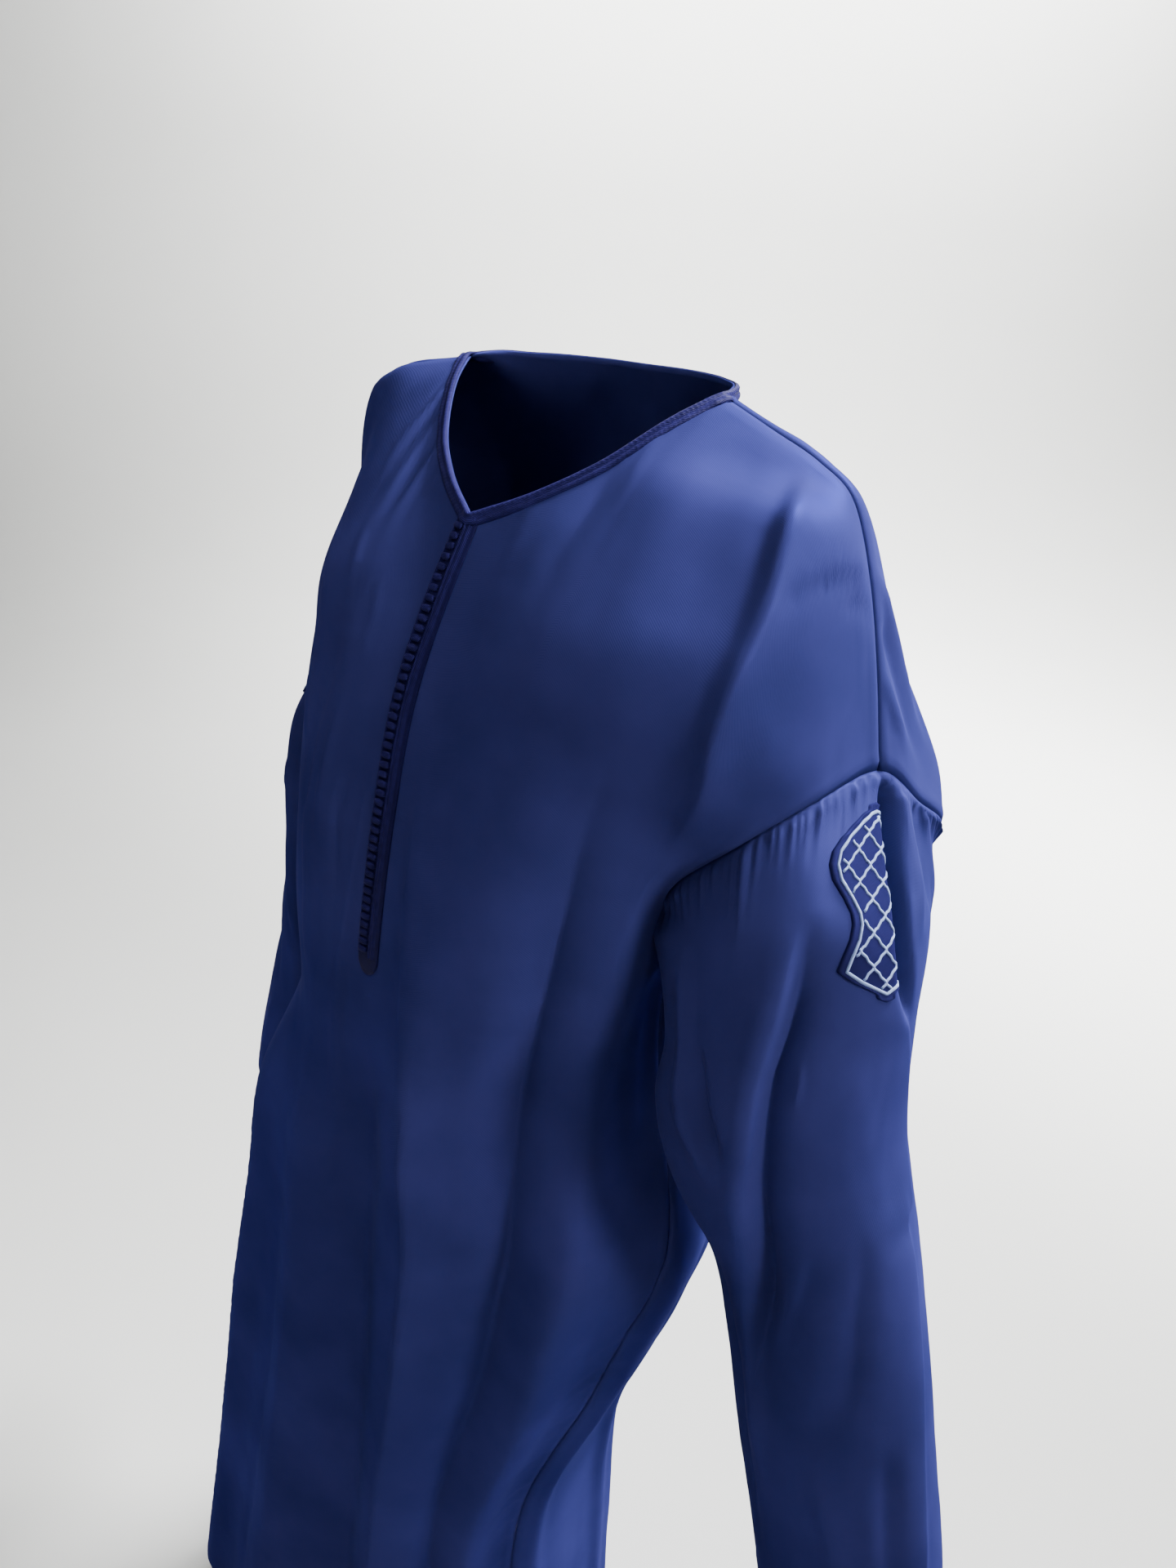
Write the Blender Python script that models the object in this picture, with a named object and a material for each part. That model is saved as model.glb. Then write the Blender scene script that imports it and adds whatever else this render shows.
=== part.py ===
"""A men's hoodless djellaba, filled out as it is worn, hollow and open.

The frame is the garment's own: the origin is the middle of the neck hole at the
height of the neck-shoulder points, the front faces -Y, the wearer's left arm is
at +X and +Z is up.

The front and the back are each one cut panel that runs out over a dropped
shoulder.  A panel is a smooth surface through cross rows.  A row is a line of
points from the centre line out to the armhole or the side seam, and the rows
follow each other down the cloth.  Sleeves are lofts from the armhole ring to
the cuff.  What lies on the cloth is made from the cloth's own points.
"""

import math

import bmesh
import bpy
import numpy as np
from mathutils import Vector
from mathutils.bvhtree import BVHTree

CM = 0.01

# Cloth and trim sizes, in metres.
WALL = 0.0018            # satin with its turned seams, as one wall
SEAM_GAP = 0.0006        # between two panels along a seam
LAY_GAP = 0.0005         # between the cloth and what is sewn on it
NECK_GAP = 0.0014        # the same under the neck braid
NECK_BRAID_WIDTH = 0.0078
NECK_BRAID_HEIGHT = 0.0022
PLACKET_LENGTH = 0.306
LOOP_COUNT = 46
LOOP_BAND_WIDTH = 0.0066
LOOP_HEIGHT = 0.0019
LOOP_SINK = 0.0009
PLAIN_BAND_WIDTH = 0.0070
PLAIN_BAND_HEIGHT = 0.0021
BAND_SPACING = 0.0005
PATCH_THICKNESS = 0.0014
PATCH_GAP = 0.0012

# Cloth lengths, in centimetres down the cloth from the shoulder line.
ARMHOLE_DROP = 28.0
HEM_DROP = 137.0
NECK_SHARE = 0.30        # share of a half panel's top edge that is neckline
SEAM_BLEND_FROM = 0.7    # share of a half panel past which it bends to meet the other

# How finely the solids are divided.
YOKE_ROWS = 10           # rows between the shoulder line and the underarm point
SKIRT_ROWS = 10          # rows below it
FRONT_NECK_COLUMNS = 8   # columns in half a neckline
BACK_NECK_COLUMNS = 7
SHOULDER_COLUMNS = 14
GATHERS = 30             # a sleeve has two columns for each; a multiple of YOKE_ROWS
GATHER_HEIGHT = 0.0026
UNDERARM_PLAIN = 0.02    # share of the way round, each side of the underarm, left flat
UNDERARM_EASE = 0.10     # and the share over which the gathers then grow
GATHER_RISE = 1.2        # centimetres from the seam to a gather's full height
GATHER_FADE = 6.0        # centimetres in which it then dies out
NECK_STEPS = 3           # braid sections for each column of the panel
BRAID_INSET = 0.0004     # from the neckline's cut edge
BRAID_UNDERSIDE = [0, 2, 4]
SEAM_BULK = 0.0009       # how much higher the braid rides over the shoulder seam
SEAM_BULK_REACH = 0.012
PLACKET_TOP = 1.5        # braid widths from the V's cut edge to the placket
PLAIN_BAND_STEPS = 24
PATCH_ROWS = 13
PATCH_COLUMNS = 6

# Across a braid: share of its width, share of its height.
BRAID_PROFILE = ((0.0, 0.45), (0.24, 1.0), (0.5, 0.62), (0.76, 1.0), (1.0, 0.45))
# Across the ladder of loops: share of its width, and whether the rungs raise it.
LOOP_SHARES = (0.0, 0.25, 0.75, 1.0)
LOOP_RAISED = (False, True, True, False)
LOOP_EDGE = 0.0009

# The neckline, in centimetres: share of the way from the centre to the shoulder, x, y, z.
FRONT_NECKLINE = (
    (0.00, 0.0, -8.9, -8.8),
    (0.32, 3.6, -6.9, -6.9),
    (0.59, 6.5, -4.6, -4.7),
    (0.84, 9.1, -1.2, -1.7),
    (1.00, 10.4, 1.4, -0.35),
)
BACK_NECKLINE = (
    (0.00, 0.0, 8.3, 0.6),
    (0.35, 4.0, 7.7, 0.6),
    (0.68, 7.9, 5.6, 0.4),
    (0.88, 9.9, 3.4, 0.1),
    (1.00, 10.4, 1.4, -0.35),
)
# The shoulder seam, out over the shoulder to the sleeve: share of its way, x, y, z.
SHOULDER_SEAM = (
    (0.00, 10.4, 1.4, -0.35),
    (0.22, 14.2, 1.3, -1.8),
    (0.40, 17.6, 1.1, -3.1),
    (0.54, 20.1, 0.8, -4.6),
    (0.70, 22.2, 0.7, -8.6),
    (0.86, 24.0, 0.8, -14.2),
    (1.00, 25.4, 1.0, -19.8),
)

# Where a row's guide points lie between the centre line (0) and its edge (1).
GUIDES = (0.0, 0.2, 0.42, 0.62, 0.82, 1.0)
# Rows between the shoulder line and the underarm point, on the wearer's left:
# drop down the cloth, then a point (x, y, z) at each guide, in centimetres.
FRONT_YOKE_ROWS = (
    (6.2, (-0.4, -11.1, -14.4), (6.3, -11.3, -13.3), (13.0, -10.2, -12.4),
     (18.6, -7.7, -13.0), (22.5, -5.8, -16.7), (24.0, -4.5, -20.8)),
    (12.8, (-0.8, -13.0, -20.7), (6.8, -13.4, -20.0), (13.5, -12.5, -19.4),
     (18.4, -9.5, -19.6), (20.7, -8.0, -21.2), (21.3, -7.3, -23.6)),
    (19.8, (-0.8, -14.2, -27.5), (6.8, -14.7, -27.2), (12.6, -13.5, -27.0),
     (16.6, -10.4, -27.0), (17.3, -8.6, -27.9), (17.0, -6.7, -29.2)),
    (28.0, (-1.0, -15.0, -36.5), (6.3, -15.3, -36.5), (12.2, -14.0, -36.5),
     (15.8, -10.4, -36.3), (16.4, -6.1, -36.0), (16.2, -1.8, -35.4)),
)
BACK_YOKE_ROWS = (
    (6.2, (0.0, 10.4, -7.2), (6.8, 10.6, -7.0), (13.0, 10.0, -7.5),
     (18.9, 8.0, -9.8), (23.8, 6.6, -15.6), (27.2, 4.5, -22.2)),
    (12.8, (0.0, 11.9, -16.2), (7.2, 12.2, -16.2), (14.4, 11.9, -16.6),
     (21.2, 10.4, -18.2), (26.4, 8.7, -21.4), (28.2, 7.4, -24.5)),
    (19.8, (0.0, 12.2, -25.2), (7.2, 12.5, -25.2), (14.0, 12.1, -25.5),
     (19.8, 10.8, -26.4), (23.4, 9.2, -27.9), (24.3, 8.1, -29.2)),
    (28.0, (0.0, 11.7, -36.5), (6.8, 12.0, -36.5), (12.2, 11.3, -36.5),
     (15.9, 8.6, -36.3), (16.9, 3.8, -36.0), (16.2, -1.8, -35.4)),
)
# Level rings below the underarm, in centimetres: drop, height, centre line x,
# front y, back y, side seam x and y on the left, side seam x and y on the right.
SKIRT_RINGS = (
    (42.0, -50.0, -1.2, -15.3, 12.2, 16.4, -1.4, -15.3, -6.5),
    (52.5, -60.5, -1.4, -15.4, 13.0, 21.0, -2.4, -19.6, -8.2),
    (65.0, -73.0, -1.6, -15.6, 13.4, 19.6, -3.6, -21.4, -8.0),
    (82.0, -90.0, -1.8, -15.8, 14.0, 15.2, -5.0, -24.2, -7.6),
    (108.0, -115.0, -2.3, -17.0, 15.4, 15.8, -4.0, -27.2, -7.5),
    (137.0, -143.0, -3.0, -18.5, 17.0, 18.6, -3.0, -30.8, -7.5),
)
RING_SQUARENESS = 2.3    # 2 is an ellipse, more is squarer

# How the right arm's side differs from the left's mirror image, in centimetres.
RIGHT_ARM_FROM = 11.0    # distance out from the centre where the arm starts to move in
RIGHT_ARM_BLEND = 10.0
RIGHT_BACK_FROM = 7.5    # distance out where that side starts to turn back
RIGHT_BACK_BLEND = 12.5
RIGHT_LIFT_FROM = 8.0    # distance out where the shoulder starts to rise
SHOULDER_LEVEL = 2.0
RIGHT_ARM_SETTLE = 15.0  # height over which the arm takes its place
RIGHT_ARM_IN = 3.4
RIGHT_ARM_BACK = 5.0
RIGHT_SHOULDER_UP = 1.3
RIGHT_CUFF_IN = 2.6
RIGHT_SLEEVE_CLEAR = 1.4 # how far the sleeve's inner edge is held off the body
RIGHT_CUFF_BACK = 3.8
RIGHT_CUFF_BEND = 1.8    # above 1, the arm bends more near the cuff

# Folds that hang in the skirt, on a panel: place across it at the top and at the
# hem (-1 right seam, 0 centre, 1 left seam), drop where it starts and is full,
# height in centimetres (a trough is negative), half width in the same shares.
FRONT_FOLDS = (
    (0.07, 0.10, 20.0, 62.0, -1.7, 0.10),
    (-0.16, -0.22, 34.0, 80.0, 1.1, 0.10),
    (0.30, 0.36, 30.0, 70.0, 1.2, 0.17),
    (0.88, 0.60, 14.0, 60.0, -2.0, 0.20),
    (0.92, 0.86, 44.0, 80.0, 1.0, 0.12),
    (-0.42, -0.50, 30.0, 74.0, -1.5, 0.13),
    (-0.66, -0.72, 40.0, 86.0, 1.4, 0.12),
    (-0.86, -0.90, 48.0, 90.0, -1.1, 0.10),
)
BACK_FOLDS = (
    (0.02, 0.05, 26.0, 76.0, 1.3, 0.15),
    (0.34, 0.32, 30.0, 80.0, -1.6, 0.14),
    (0.60, 0.64, 36.0, 84.0, 1.3, 0.13),
    (-0.30, -0.34, 28.0, 78.0, -1.5, 0.15),
    (-0.58, -0.62, 34.0, 84.0, 1.5, 0.13),
    (-0.82, -0.85, 44.0, 90.0, -1.2, 0.10),
)

# The sleeve below its head, in centimetres: distance down the sleeve from the
# armhole, outer edge x and z, inner edge x and z, middle y, half depth along y
# and the turn, in degrees, of the shoulder line to the front.
SLEEVE_SECTIONS = (
    (7.0, 30.6, -28.2, 17.2, -39.8, -0.4, 9.0, 20.0),
    (14.0, 31.7, -34.8, 17.0, -44.6, -1.2, 9.4, 10.0),
    (22.0, 33.0, -42.4, 18.8, -50.0, -1.2, 8.6, 3.0),
    (30.0, 35.8, -50.0, 22.6, -55.6, -0.9, 7.2, 0.0),
    (38.0, 38.5, -57.4, 25.0, -61.8, -0.9, 6.6, 0.0),
    (46.0, 41.1, -64.8, 27.4, -68.6, -1.4, 6.4, 0.0),
    (54.0, 43.6, -72.0, 30.2, -75.6, -1.9, 6.3, 0.0),
    (61.0, 45.6, -78.4, 32.6, -81.8, -2.3, 6.2, 0.0),
)
SLEEVE_HEAD_RINGS = (0.0, 1.2, 3.2, 6.5)

# The sleeve patch: share of its length, half width in centimetres.
PATCH_OUTLINE = (
    (0.00, 0.25), (0.10, 1.8), (0.24, 3.2), (0.40, 2.8), (0.56, 1.9),
    (0.70, 2.2), (0.82, 2.8), (0.90, 1.9), (1.00, 0.25),
)
FLAT_UNDER_PATCH = 0.18  # share of the way round the sleeve that the patch holds flat
PATCH_START = 3.4        # centimetres down the sleeve from the armhole
PATCH_LENGTH = 9.4

SATIN_BLUE = (0.030, 0.042, 0.190, 1.0)
BRAID_NAVY = (0.010, 0.009, 0.070, 1.0)
PATCH_NAVY = (0.014, 0.016, 0.095, 1.0)


def smooth_curve(stations, points, at, first_slope=None, last_slope=None):
    """Read a smooth curve through points, one per station, at other stations."""
    stations = np.asarray(stations, float)
    points = np.asarray(points, float)
    at = np.clip(np.asarray(at, float), stations[0], stations[-1])
    spread = (-1,) + (1,) * (points.ndim - 1)
    step = np.diff(stations).reshape(spread)
    rise = np.diff(points, axis=0) / step
    slope = np.empty_like(points)
    slope[1:-1] = (rise[:-1] * step[1:] + rise[1:] * step[:-1]) / (step[1:] + step[:-1])
    slope[0] = rise[0] if first_slope is None else first_slope
    slope[-1] = rise[-1] if last_slope is None else last_slope
    k = np.clip(np.searchsorted(stations, at, side="right") - 1, 0, len(stations) - 2)
    width = (stations[k + 1] - stations[k]).reshape(spread)
    t = (at - stations[k]).reshape(spread) / width
    return ((2 * t**3 - 3 * t**2 + 1) * points[k] + (t**3 - 2 * t**2 + t) * width * slope[k]
            + (3 * t**2 - 2 * t**3) * points[k + 1] + (t**3 - t**2) * width * slope[k + 1])


def ease(x):
    """Rise smoothly from 0 to 1."""
    x = np.clip(x, 0.0, 1.0)
    return x * x * (3.0 - 2.0 * x)


def on_right(points, reach=0.0):
    """Carry centimetre points across to the wearer's right.

    The right arm hangs closer and further back than the left.  Reach is the
    share of the way down the sleeve, 0 on the panels.
    """
    points = np.array(points, float)
    out = ease((points[..., 0] - RIGHT_ARM_FROM) / RIGHT_ARM_BLEND)
    back = ease((points[..., 0] - RIGHT_BACK_FROM) / RIGHT_BACK_BLEND)
    below = ease(-(points[..., 2] + SHOULDER_LEVEL) / RIGHT_ARM_SETTLE)
    lift = ease((points[..., 0] - RIGHT_LIFT_FROM) / RIGHT_ARM_BLEND) * (1 - below)
    points[..., 0] -= RIGHT_ARM_IN * out * below + RIGHT_CUFF_IN * reach ** RIGHT_CUFF_BEND
    points[..., 1] += RIGHT_ARM_BACK * back * below + RIGHT_CUFF_BACK * reach ** RIGHT_CUFF_BEND
    points[..., 2] += RIGHT_SHOULDER_UP * lift
    points[..., 0] *= -1.0
    return points


def top_edge(across, neckline):
    """Neckline, then shoulder seam, at signed places across a panel."""
    share = np.abs(across)
    neck = np.asarray(neckline, float)
    seam = np.asarray(SHOULDER_SEAM, float)
    on_neck = smooth_curve(neck[:, 0], neck[:, 1:], share / NECK_SHARE)
    on_seam = smooth_curve(seam[:, 0], seam[:, 1:], (share - NECK_SHARE) / (1 - NECK_SHARE))
    line = np.where((share < NECK_SHARE)[:, None], on_neck, on_seam)
    return np.where((across < 0)[:, None], on_right(line), line)


def ring_quarter(centre_x, centre_y, side_x, side_y, height):
    """Guide points of a level ring from a centre line to a side seam."""
    turn = np.array(GUIDES) * math.pi / 2
    power = 2.0 / RING_SQUARENESS
    x = centre_x + (side_x - centre_x) * np.sin(turn) ** power
    y = side_y + (centre_y - side_y) * np.clip(np.cos(turn), 0, 1) ** power
    return np.stack([x, y, np.full_like(x, height)], axis=1)


def guide_rows(is_front):
    """Each row's drop and its guide points, right edge to left edge."""
    drops, rows = [], []
    for drop, *points in FRONT_YOKE_ROWS if is_front else BACK_YOKE_ROWS:
        left = np.asarray(points, float)
        drops.append(drop)
        rows.append(np.vstack([on_right(left[:0:-1]), left]))
    for drop, height, middle, front, back, left_x, left_y, right_x, right_y in SKIRT_RINGS:
        level = front if is_front else back
        left = ring_quarter(middle, level, left_x, left_y, height)
        right = ring_quarter(middle, level, right_x, right_y, height)
        drops.append(drop)
        rows.append(np.vstack([right[:0:-1], left]))
    return np.array(drops), np.array(rows)


def panel_rows(across, is_front):
    """Every row of a panel read at the given places across it."""
    places = np.array([-g for g in GUIDES[:0:-1]] + list(GUIDES))
    drops, rows = guide_rows(is_front)
    _, others = guide_rows(not is_front)
    reach = 2 * (1 - GUIDES[-2])
    lines = []
    for drop, row, other in zip(drops, rows, others):
        closed = drop >= ARMHOLE_DROP
        first = (row[1] - other[1]) / reach if closed else None
        last = (other[-2] - row[-2]) / reach if closed else None
        lines.append(smooth_curve(places, row, across, first, last))
    return drops, np.array(lines)


def panel_sheet(across, drops_at, is_front):
    """Points of a panel through its rows, as rows by columns."""
    drops, lines = panel_rows(across, is_front)
    _, other_lines = panel_rows(across, not is_front)
    top = top_edge(across, FRONT_NECKLINE if is_front else BACK_NECKLINE)
    free_slope = (lines[0] - top) / drops[0]
    seam_slope = (lines[0] - other_lines[0]) / (2 * drops[0])
    blend = ease((np.abs(across) - NECK_SHARE + 0.08) / 0.10)[:, None]
    slope = free_slope * (1 - blend) + seam_slope * blend
    stations = np.concatenate([[0.0], drops])
    return smooth_curve(stations, np.concatenate([top[None], lines]), drops_at, slope)


def panel_base(across, drops_at, is_front):
    """Points of a panel without its hanging folds; side seams meet halfway."""
    sheet = panel_sheet(across, drops_at, is_front)
    ends = np.array([-1.0, 1.0])
    apart = panel_sheet(ends, drops_at, not is_front) - panel_sheet(ends, drops_at, is_front)
    apart *= (drops_at > ARMHOLE_DROP)[:, None, None] / 2
    for end, side in enumerate(ends):
        near = ease((across * side - SEAM_BLEND_FROM) / (1 - SEAM_BLEND_FROM))
        sheet = sheet + near[None, :, None] * apart[:, end:end + 1]
    return sheet


def outward(grid, is_front):
    """Unit normals of a grid of points, turned away from the body."""
    along = np.gradient(grid, axis=1)
    down = np.gradient(grid, axis=0)
    normal = np.cross(down, along)
    normal /= np.maximum(np.linalg.norm(normal, axis=2, keepdims=True), 1e-9)
    return normal if is_front else -normal


def fold_height(across, drops_at, folds):
    """Centimetres that the hanging folds lift each point of a panel."""
    height = np.zeros((len(drops_at), len(across)))
    for top, hem, start, full, lift, half_width in folds:
        place = top + (hem - top) * np.clip((drops_at - start) / (HEM_DROP - start), 0, 1)
        grow = ease((drops_at - start) / (full - start))
        away = (across[None, :] - place[:, None]) / half_width
        height += lift * grow[:, None] * np.exp(-away ** 2)
    edge = 1 - ease((np.abs(across) - 0.9) / 0.1)
    return height * edge[None, :]


def panel_surface(across, drops_at, is_front):
    """Points of a hanging panel in metres, with their outward normals."""
    across = np.asarray(across, float)
    drops_at = np.asarray(drops_at, float)
    base = panel_base(across, drops_at, is_front)
    folds = FRONT_FOLDS if is_front else BACK_FOLDS
    lift = fold_height(across, drops_at, folds)
    surface = (base + outward(base, is_front) * lift[:, :, None]) * CM
    return surface, outward(surface, is_front)


def panel_places(is_front):
    """Where the solid's columns stand across a panel; shoulders match on both."""
    neck_columns = FRONT_NECK_COLUMNS if is_front else BACK_NECK_COLUMNS
    neck = np.linspace(0, NECK_SHARE, neck_columns + 1)
    shoulder = np.linspace(NECK_SHARE, 1, SHOULDER_COLUMNS + 1)
    half = np.concatenate([neck, shoulder[1:]])
    return np.concatenate([-half[:0:-1], half])


def panel_drops():
    """Where the solid's rows lie down the cloth; both panels have the same."""
    yoke = np.linspace(0, ARMHOLE_DROP, YOKE_ROWS + 1)
    skirt = np.linspace(ARMHOLE_DROP, HEM_DROP, SKIRT_ROWS + 1)
    return np.concatenate([yoke, skirt[1:]])


def unit(vectors):
    """Vectors of length one, along the last axis."""
    return vectors / np.maximum(np.linalg.norm(vectors, axis=-1, keepdims=True), 1e-12)


def panel_grid(is_front):
    """A panel's solid points and normals; along a seam both panels share normals."""
    across, drops = panel_places(is_front), panel_drops()
    surface, normals = panel_surface(across, drops, is_front)
    _, other = panel_surface(across, drops, not is_front)
    seam = np.abs(across) >= NECK_SHARE
    normals[0, seam] = unit(normals[0] + other[0])[seam]
    for edge in (0, -1):
        normals[YOKE_ROWS:, edge] = unit(normals[:, edge] + other[:, edge])[YOKE_ROWS:]
    return surface, normals


def pulled_in(grid, gap):
    """Draw a grid's seam edges back by a gap, along the cloth."""
    grid = grid.copy()
    for edge, inner in ((grid[:, 0], grid[:, 1]), (grid[:, -1], grid[:, -2])):
        edge += unit(inner - edge) * gap
    grid[0] += unit(grid[1] - grid[0]) * gap
    return grid


def add_wall(name, outer, inner, collection, finish, closed=False):
    """A cloth wall: a grid sheet with the outer points, extruded to the inner points."""
    rows, columns = outer.shape[:2]
    wall = bmesh.new()
    slot = wall.verts.layers.int.new("slot")
    bmesh.ops.create_grid(wall, x_segments=columns - 1, y_segments=rows - 1, size=0.5)
    for index, (vertex, point) in enumerate(zip(wall.verts, outer.reshape(-1, 3))):
        vertex.co = point
        vertex[slot] = index
    bmesh.ops.triangulate(wall, faces=wall.faces, quad_method="FIXED")
    if closed:
        bmesh.ops.remove_doubles(wall, verts=wall.verts, dist=0.00001)
    skin = bmesh.ops.extrude_face_region(wall, geom=wall.faces[:], use_keep_orig=True)
    inside = inner.reshape(-1, 3)
    for vertex in skin["geom"]:
        if isinstance(vertex, bmesh.types.BMVert):
            vertex.co = inside[vertex[slot]]
    bmesh.ops.recalc_face_normals(wall, faces=wall.faces)
    mesh = bpy.data.meshes.new(name)
    wall.to_mesh(mesh)
    wall.free()
    return place(mesh, collection, finish)


def material(name, colour, roughness, sheen):
    """A cloth finish."""
    made = bpy.data.materials.new(name)
    made.use_nodes = True
    shader = made.node_tree.nodes["Principled BSDF"]
    shader.inputs["Base Color"].default_value = colour
    shader.inputs["Roughness"].default_value = roughness
    shader.inputs["Metallic"].default_value = 0.0
    shader.inputs["Sheen Weight"].default_value = sheen
    return made


def place(mesh, collection, finish):
    """Put a mesh in the garment as its own piece."""
    piece = bpy.data.objects.new(mesh.name, mesh)
    collection.objects.link(piece)
    piece.data.materials.append(finish)
    piece.data.shade_smooth()
    return piece


def build_panels(collection):
    """The front and the back, each one cut piece out over the shoulders."""
    satin = material("blue_satin", SATIN_BLUE, 0.42, 0.25)
    for name, is_front in (("front", True), ("back", False)):
        surface, normals = panel_grid(is_front)
        inner = surface - normals * WALL
        add_wall(name, pulled_in(surface, SEAM_GAP / 2), pulled_in(inner, SEAM_GAP / 2),
                 collection, satin)


def armhole_ring(around, is_left):
    """An armhole ring and the yoke's normals on it, at shares round it.

    The ring runs from the shoulder over the front to the underarm and back over
    the back.  It follows the panels' own edges, so the sleeve meets them.
    """
    halves = []
    for is_front, rows_at in ((True, around * 2), (False, 2 - around * 2)):
        surface, normals = panel_grid(is_front)
        edge = -1 if is_left else 0
        row = np.clip(rows_at, 0, 1) * YOKE_ROWS
        halves.append([
            np.stack([np.interp(row, np.arange(len(line)), line[:, i]) for i in range(3)], axis=1)
            for line in (surface[:, edge], normals[:, edge])])
    on_front = (around <= 0.5)[:, None]
    return np.where(on_front, halves[0][0], halves[1][0]), \
        unit(np.where(on_front, halves[0][1], halves[1][1]))


def sleeve_section(row, around, is_left):
    """One oval section of a sleeve, in metres."""
    length, outer_x, outer_z, inner_x, inner_z, middle_y, half_depth, turn = row
    outer = np.array([outer_x, middle_y, outer_z])
    inner = np.array([inner_x, middle_y, inner_z])
    angle = around * 2 * math.pi + math.radians(turn) * np.cos(around * math.pi) ** 2
    half = (outer - inner) / 2
    depth = np.array([0.0, -half_depth, 0.0])
    ring = (outer + inner) / 2 + np.cos(angle)[:, None] * half + np.sin(angle)[:, None] * depth
    if not is_left:
        ring = on_right(ring, length / SLEEVE_SECTIONS[-1][0])
        ring[:, 0] -= RIGHT_SLEEVE_CLEAR * (1 - np.cos(angle)) / 2
    return ring * CM


def sleeve_base(around, lengths, is_left):
    """Points of a sleeve without gathers, at lengths down it in centimetres."""
    ring, _ = armhole_ring(around, is_left)
    stations = [0.0] + [row[0] for row in SLEEVE_SECTIONS]
    sections = [ring] + [sleeve_section(row, around, is_left) for row in SLEEVE_SECTIONS]
    first = (sections[1] - ring) / stations[1]
    return smooth_curve(stations, np.array(sections), lengths, first)


def sleeve_normals(grid, is_left):
    """Unit normals of a sleeve's points, turned outward: the mean of their facets."""
    facets = unit(np.cross(grid[:-1, 1:] - grid[1:, :-1], grid[1:, 1:] - grid[:-1, :-1]))
    facets = np.concatenate([facets[:, -1:], facets, facets[:, :1]], axis=1)
    facets = np.concatenate([facets[:1], facets, facets[-1:]])
    normal = unit(facets[1:, 1:] + facets[:-1, 1:] + facets[1:, :-1] + facets[:-1, :-1])
    return normal if is_left else -normal


def sleeve_surface(around, lengths, is_left):
    """Points of a gathered sleeve in metres, rows by columns."""
    around = np.asarray(around, float)
    lengths = np.asarray(lengths, float)
    base = sleeve_base(around, lengths, is_left)
    normal = sleeve_normals(base, is_left)
    fade = ease(lengths / GATHER_RISE) * (1 - ease((lengths - GATHER_RISE) / GATHER_FADE))
    wave = 0.5 - 0.5 * np.cos(around * GATHERS * 2 * math.pi)
    from_middle = np.minimum(around, 1 - around) / FLAT_UNDER_PATCH
    flat = np.exp(-from_middle ** 2)[None, :] * ease((lengths - 1.0) / 1.5)[:, None]
    wave *= ease((np.abs(around - 0.5) - UNDERARM_PLAIN) / UNDERARM_EASE)
    lift = GATHER_HEIGHT * fade[:, None] * wave[None, :] * (1 - flat)
    return base + normal * lift[:, :, None]


def solid_sleeve_grid(is_left):
    """The sleeve's own points, as the solid has them."""
    around = np.linspace(0, 1, 2 * GATHERS + 1)
    lengths = np.array(list(SLEEVE_HEAD_RINGS) + [row[0] for row in SLEEVE_SECTIONS][1:])
    return sleeve_surface(around, lengths, is_left)


def build_sleeves(collection):
    """Gathered sleeves, open at the cuff."""
    satin = material("sleeve_satin", SATIN_BLUE, 0.42, 0.25)
    around = np.linspace(0, 1, 2 * GATHERS + 1)
    for name, is_left in (("sleeve_left", True), ("sleeve_right", False)):
        outer = solid_sleeve_grid(is_left)
        normals = sleeve_normals(outer, is_left)
        _, yoke_normals = armhole_ring(around, is_left)
        down = unit(outer[1] - outer[0])
        turns_in = np.sum(down * yoke_normals, axis=1, keepdims=True) < 0
        shared = turns_in * ease(np.abs(around - 0.5) / UNDERARM_EASE)[:, None]
        normals[0] = unit(yoke_normals * shared + normals[0] * (1 - shared))
        inner = outer - normals * WALL
        for skin in (outer, inner):
            skin[0] += down * SEAM_GAP / 2
            skin[:, -1] = skin[:, 0]
        add_wall(name, outer, inner, collection, satin, closed=True)


def facet_point(grid, rows_at, columns_at):
    """Points on a grid's flat facets, at fractional rows and columns."""
    last_row, last_column = grid.shape[0] - 2, grid.shape[1] - 2
    row = np.clip(np.floor(rows_at).astype(int), 0, last_row)
    column = np.clip(np.floor(columns_at).astype(int), 0, last_column)
    down = (rows_at - row)[..., None]
    along = (columns_at - column)[..., None]
    near = grid[row, column] * (1 - along) + grid[row, column + 1] * along
    far = grid[row + 1, column] * (1 - along) + grid[row + 1, column + 1] * along
    return near * (1 - down) + far * down


def cloth_tree(*grids):
    """A search tree of some cloth's outer facets, split as add_wall splits them."""
    points, faces = [], []
    for grid in grids:
        rows, columns = grid.shape[:2]
        first = len(points)
        points += [Vector(point) for point in grid.reshape(-1, 3)]
        for i in range(rows - 1):
            for j in range(columns - 1):
                corner = first + i * columns + j
                across = corner + columns + 1
                faces += [(corner, corner + 1, across), (corner, across, corner + columns)]
    return BVHTree.FromPolygons(points, faces)


def seated(tree, spots):
    """Move points onto the nearest place on the cloth."""
    found = [tree.find_nearest(Vector(spot))[0] for spot in spots.reshape(-1, 3)]
    return np.array(found).reshape(spots.shape)


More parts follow.
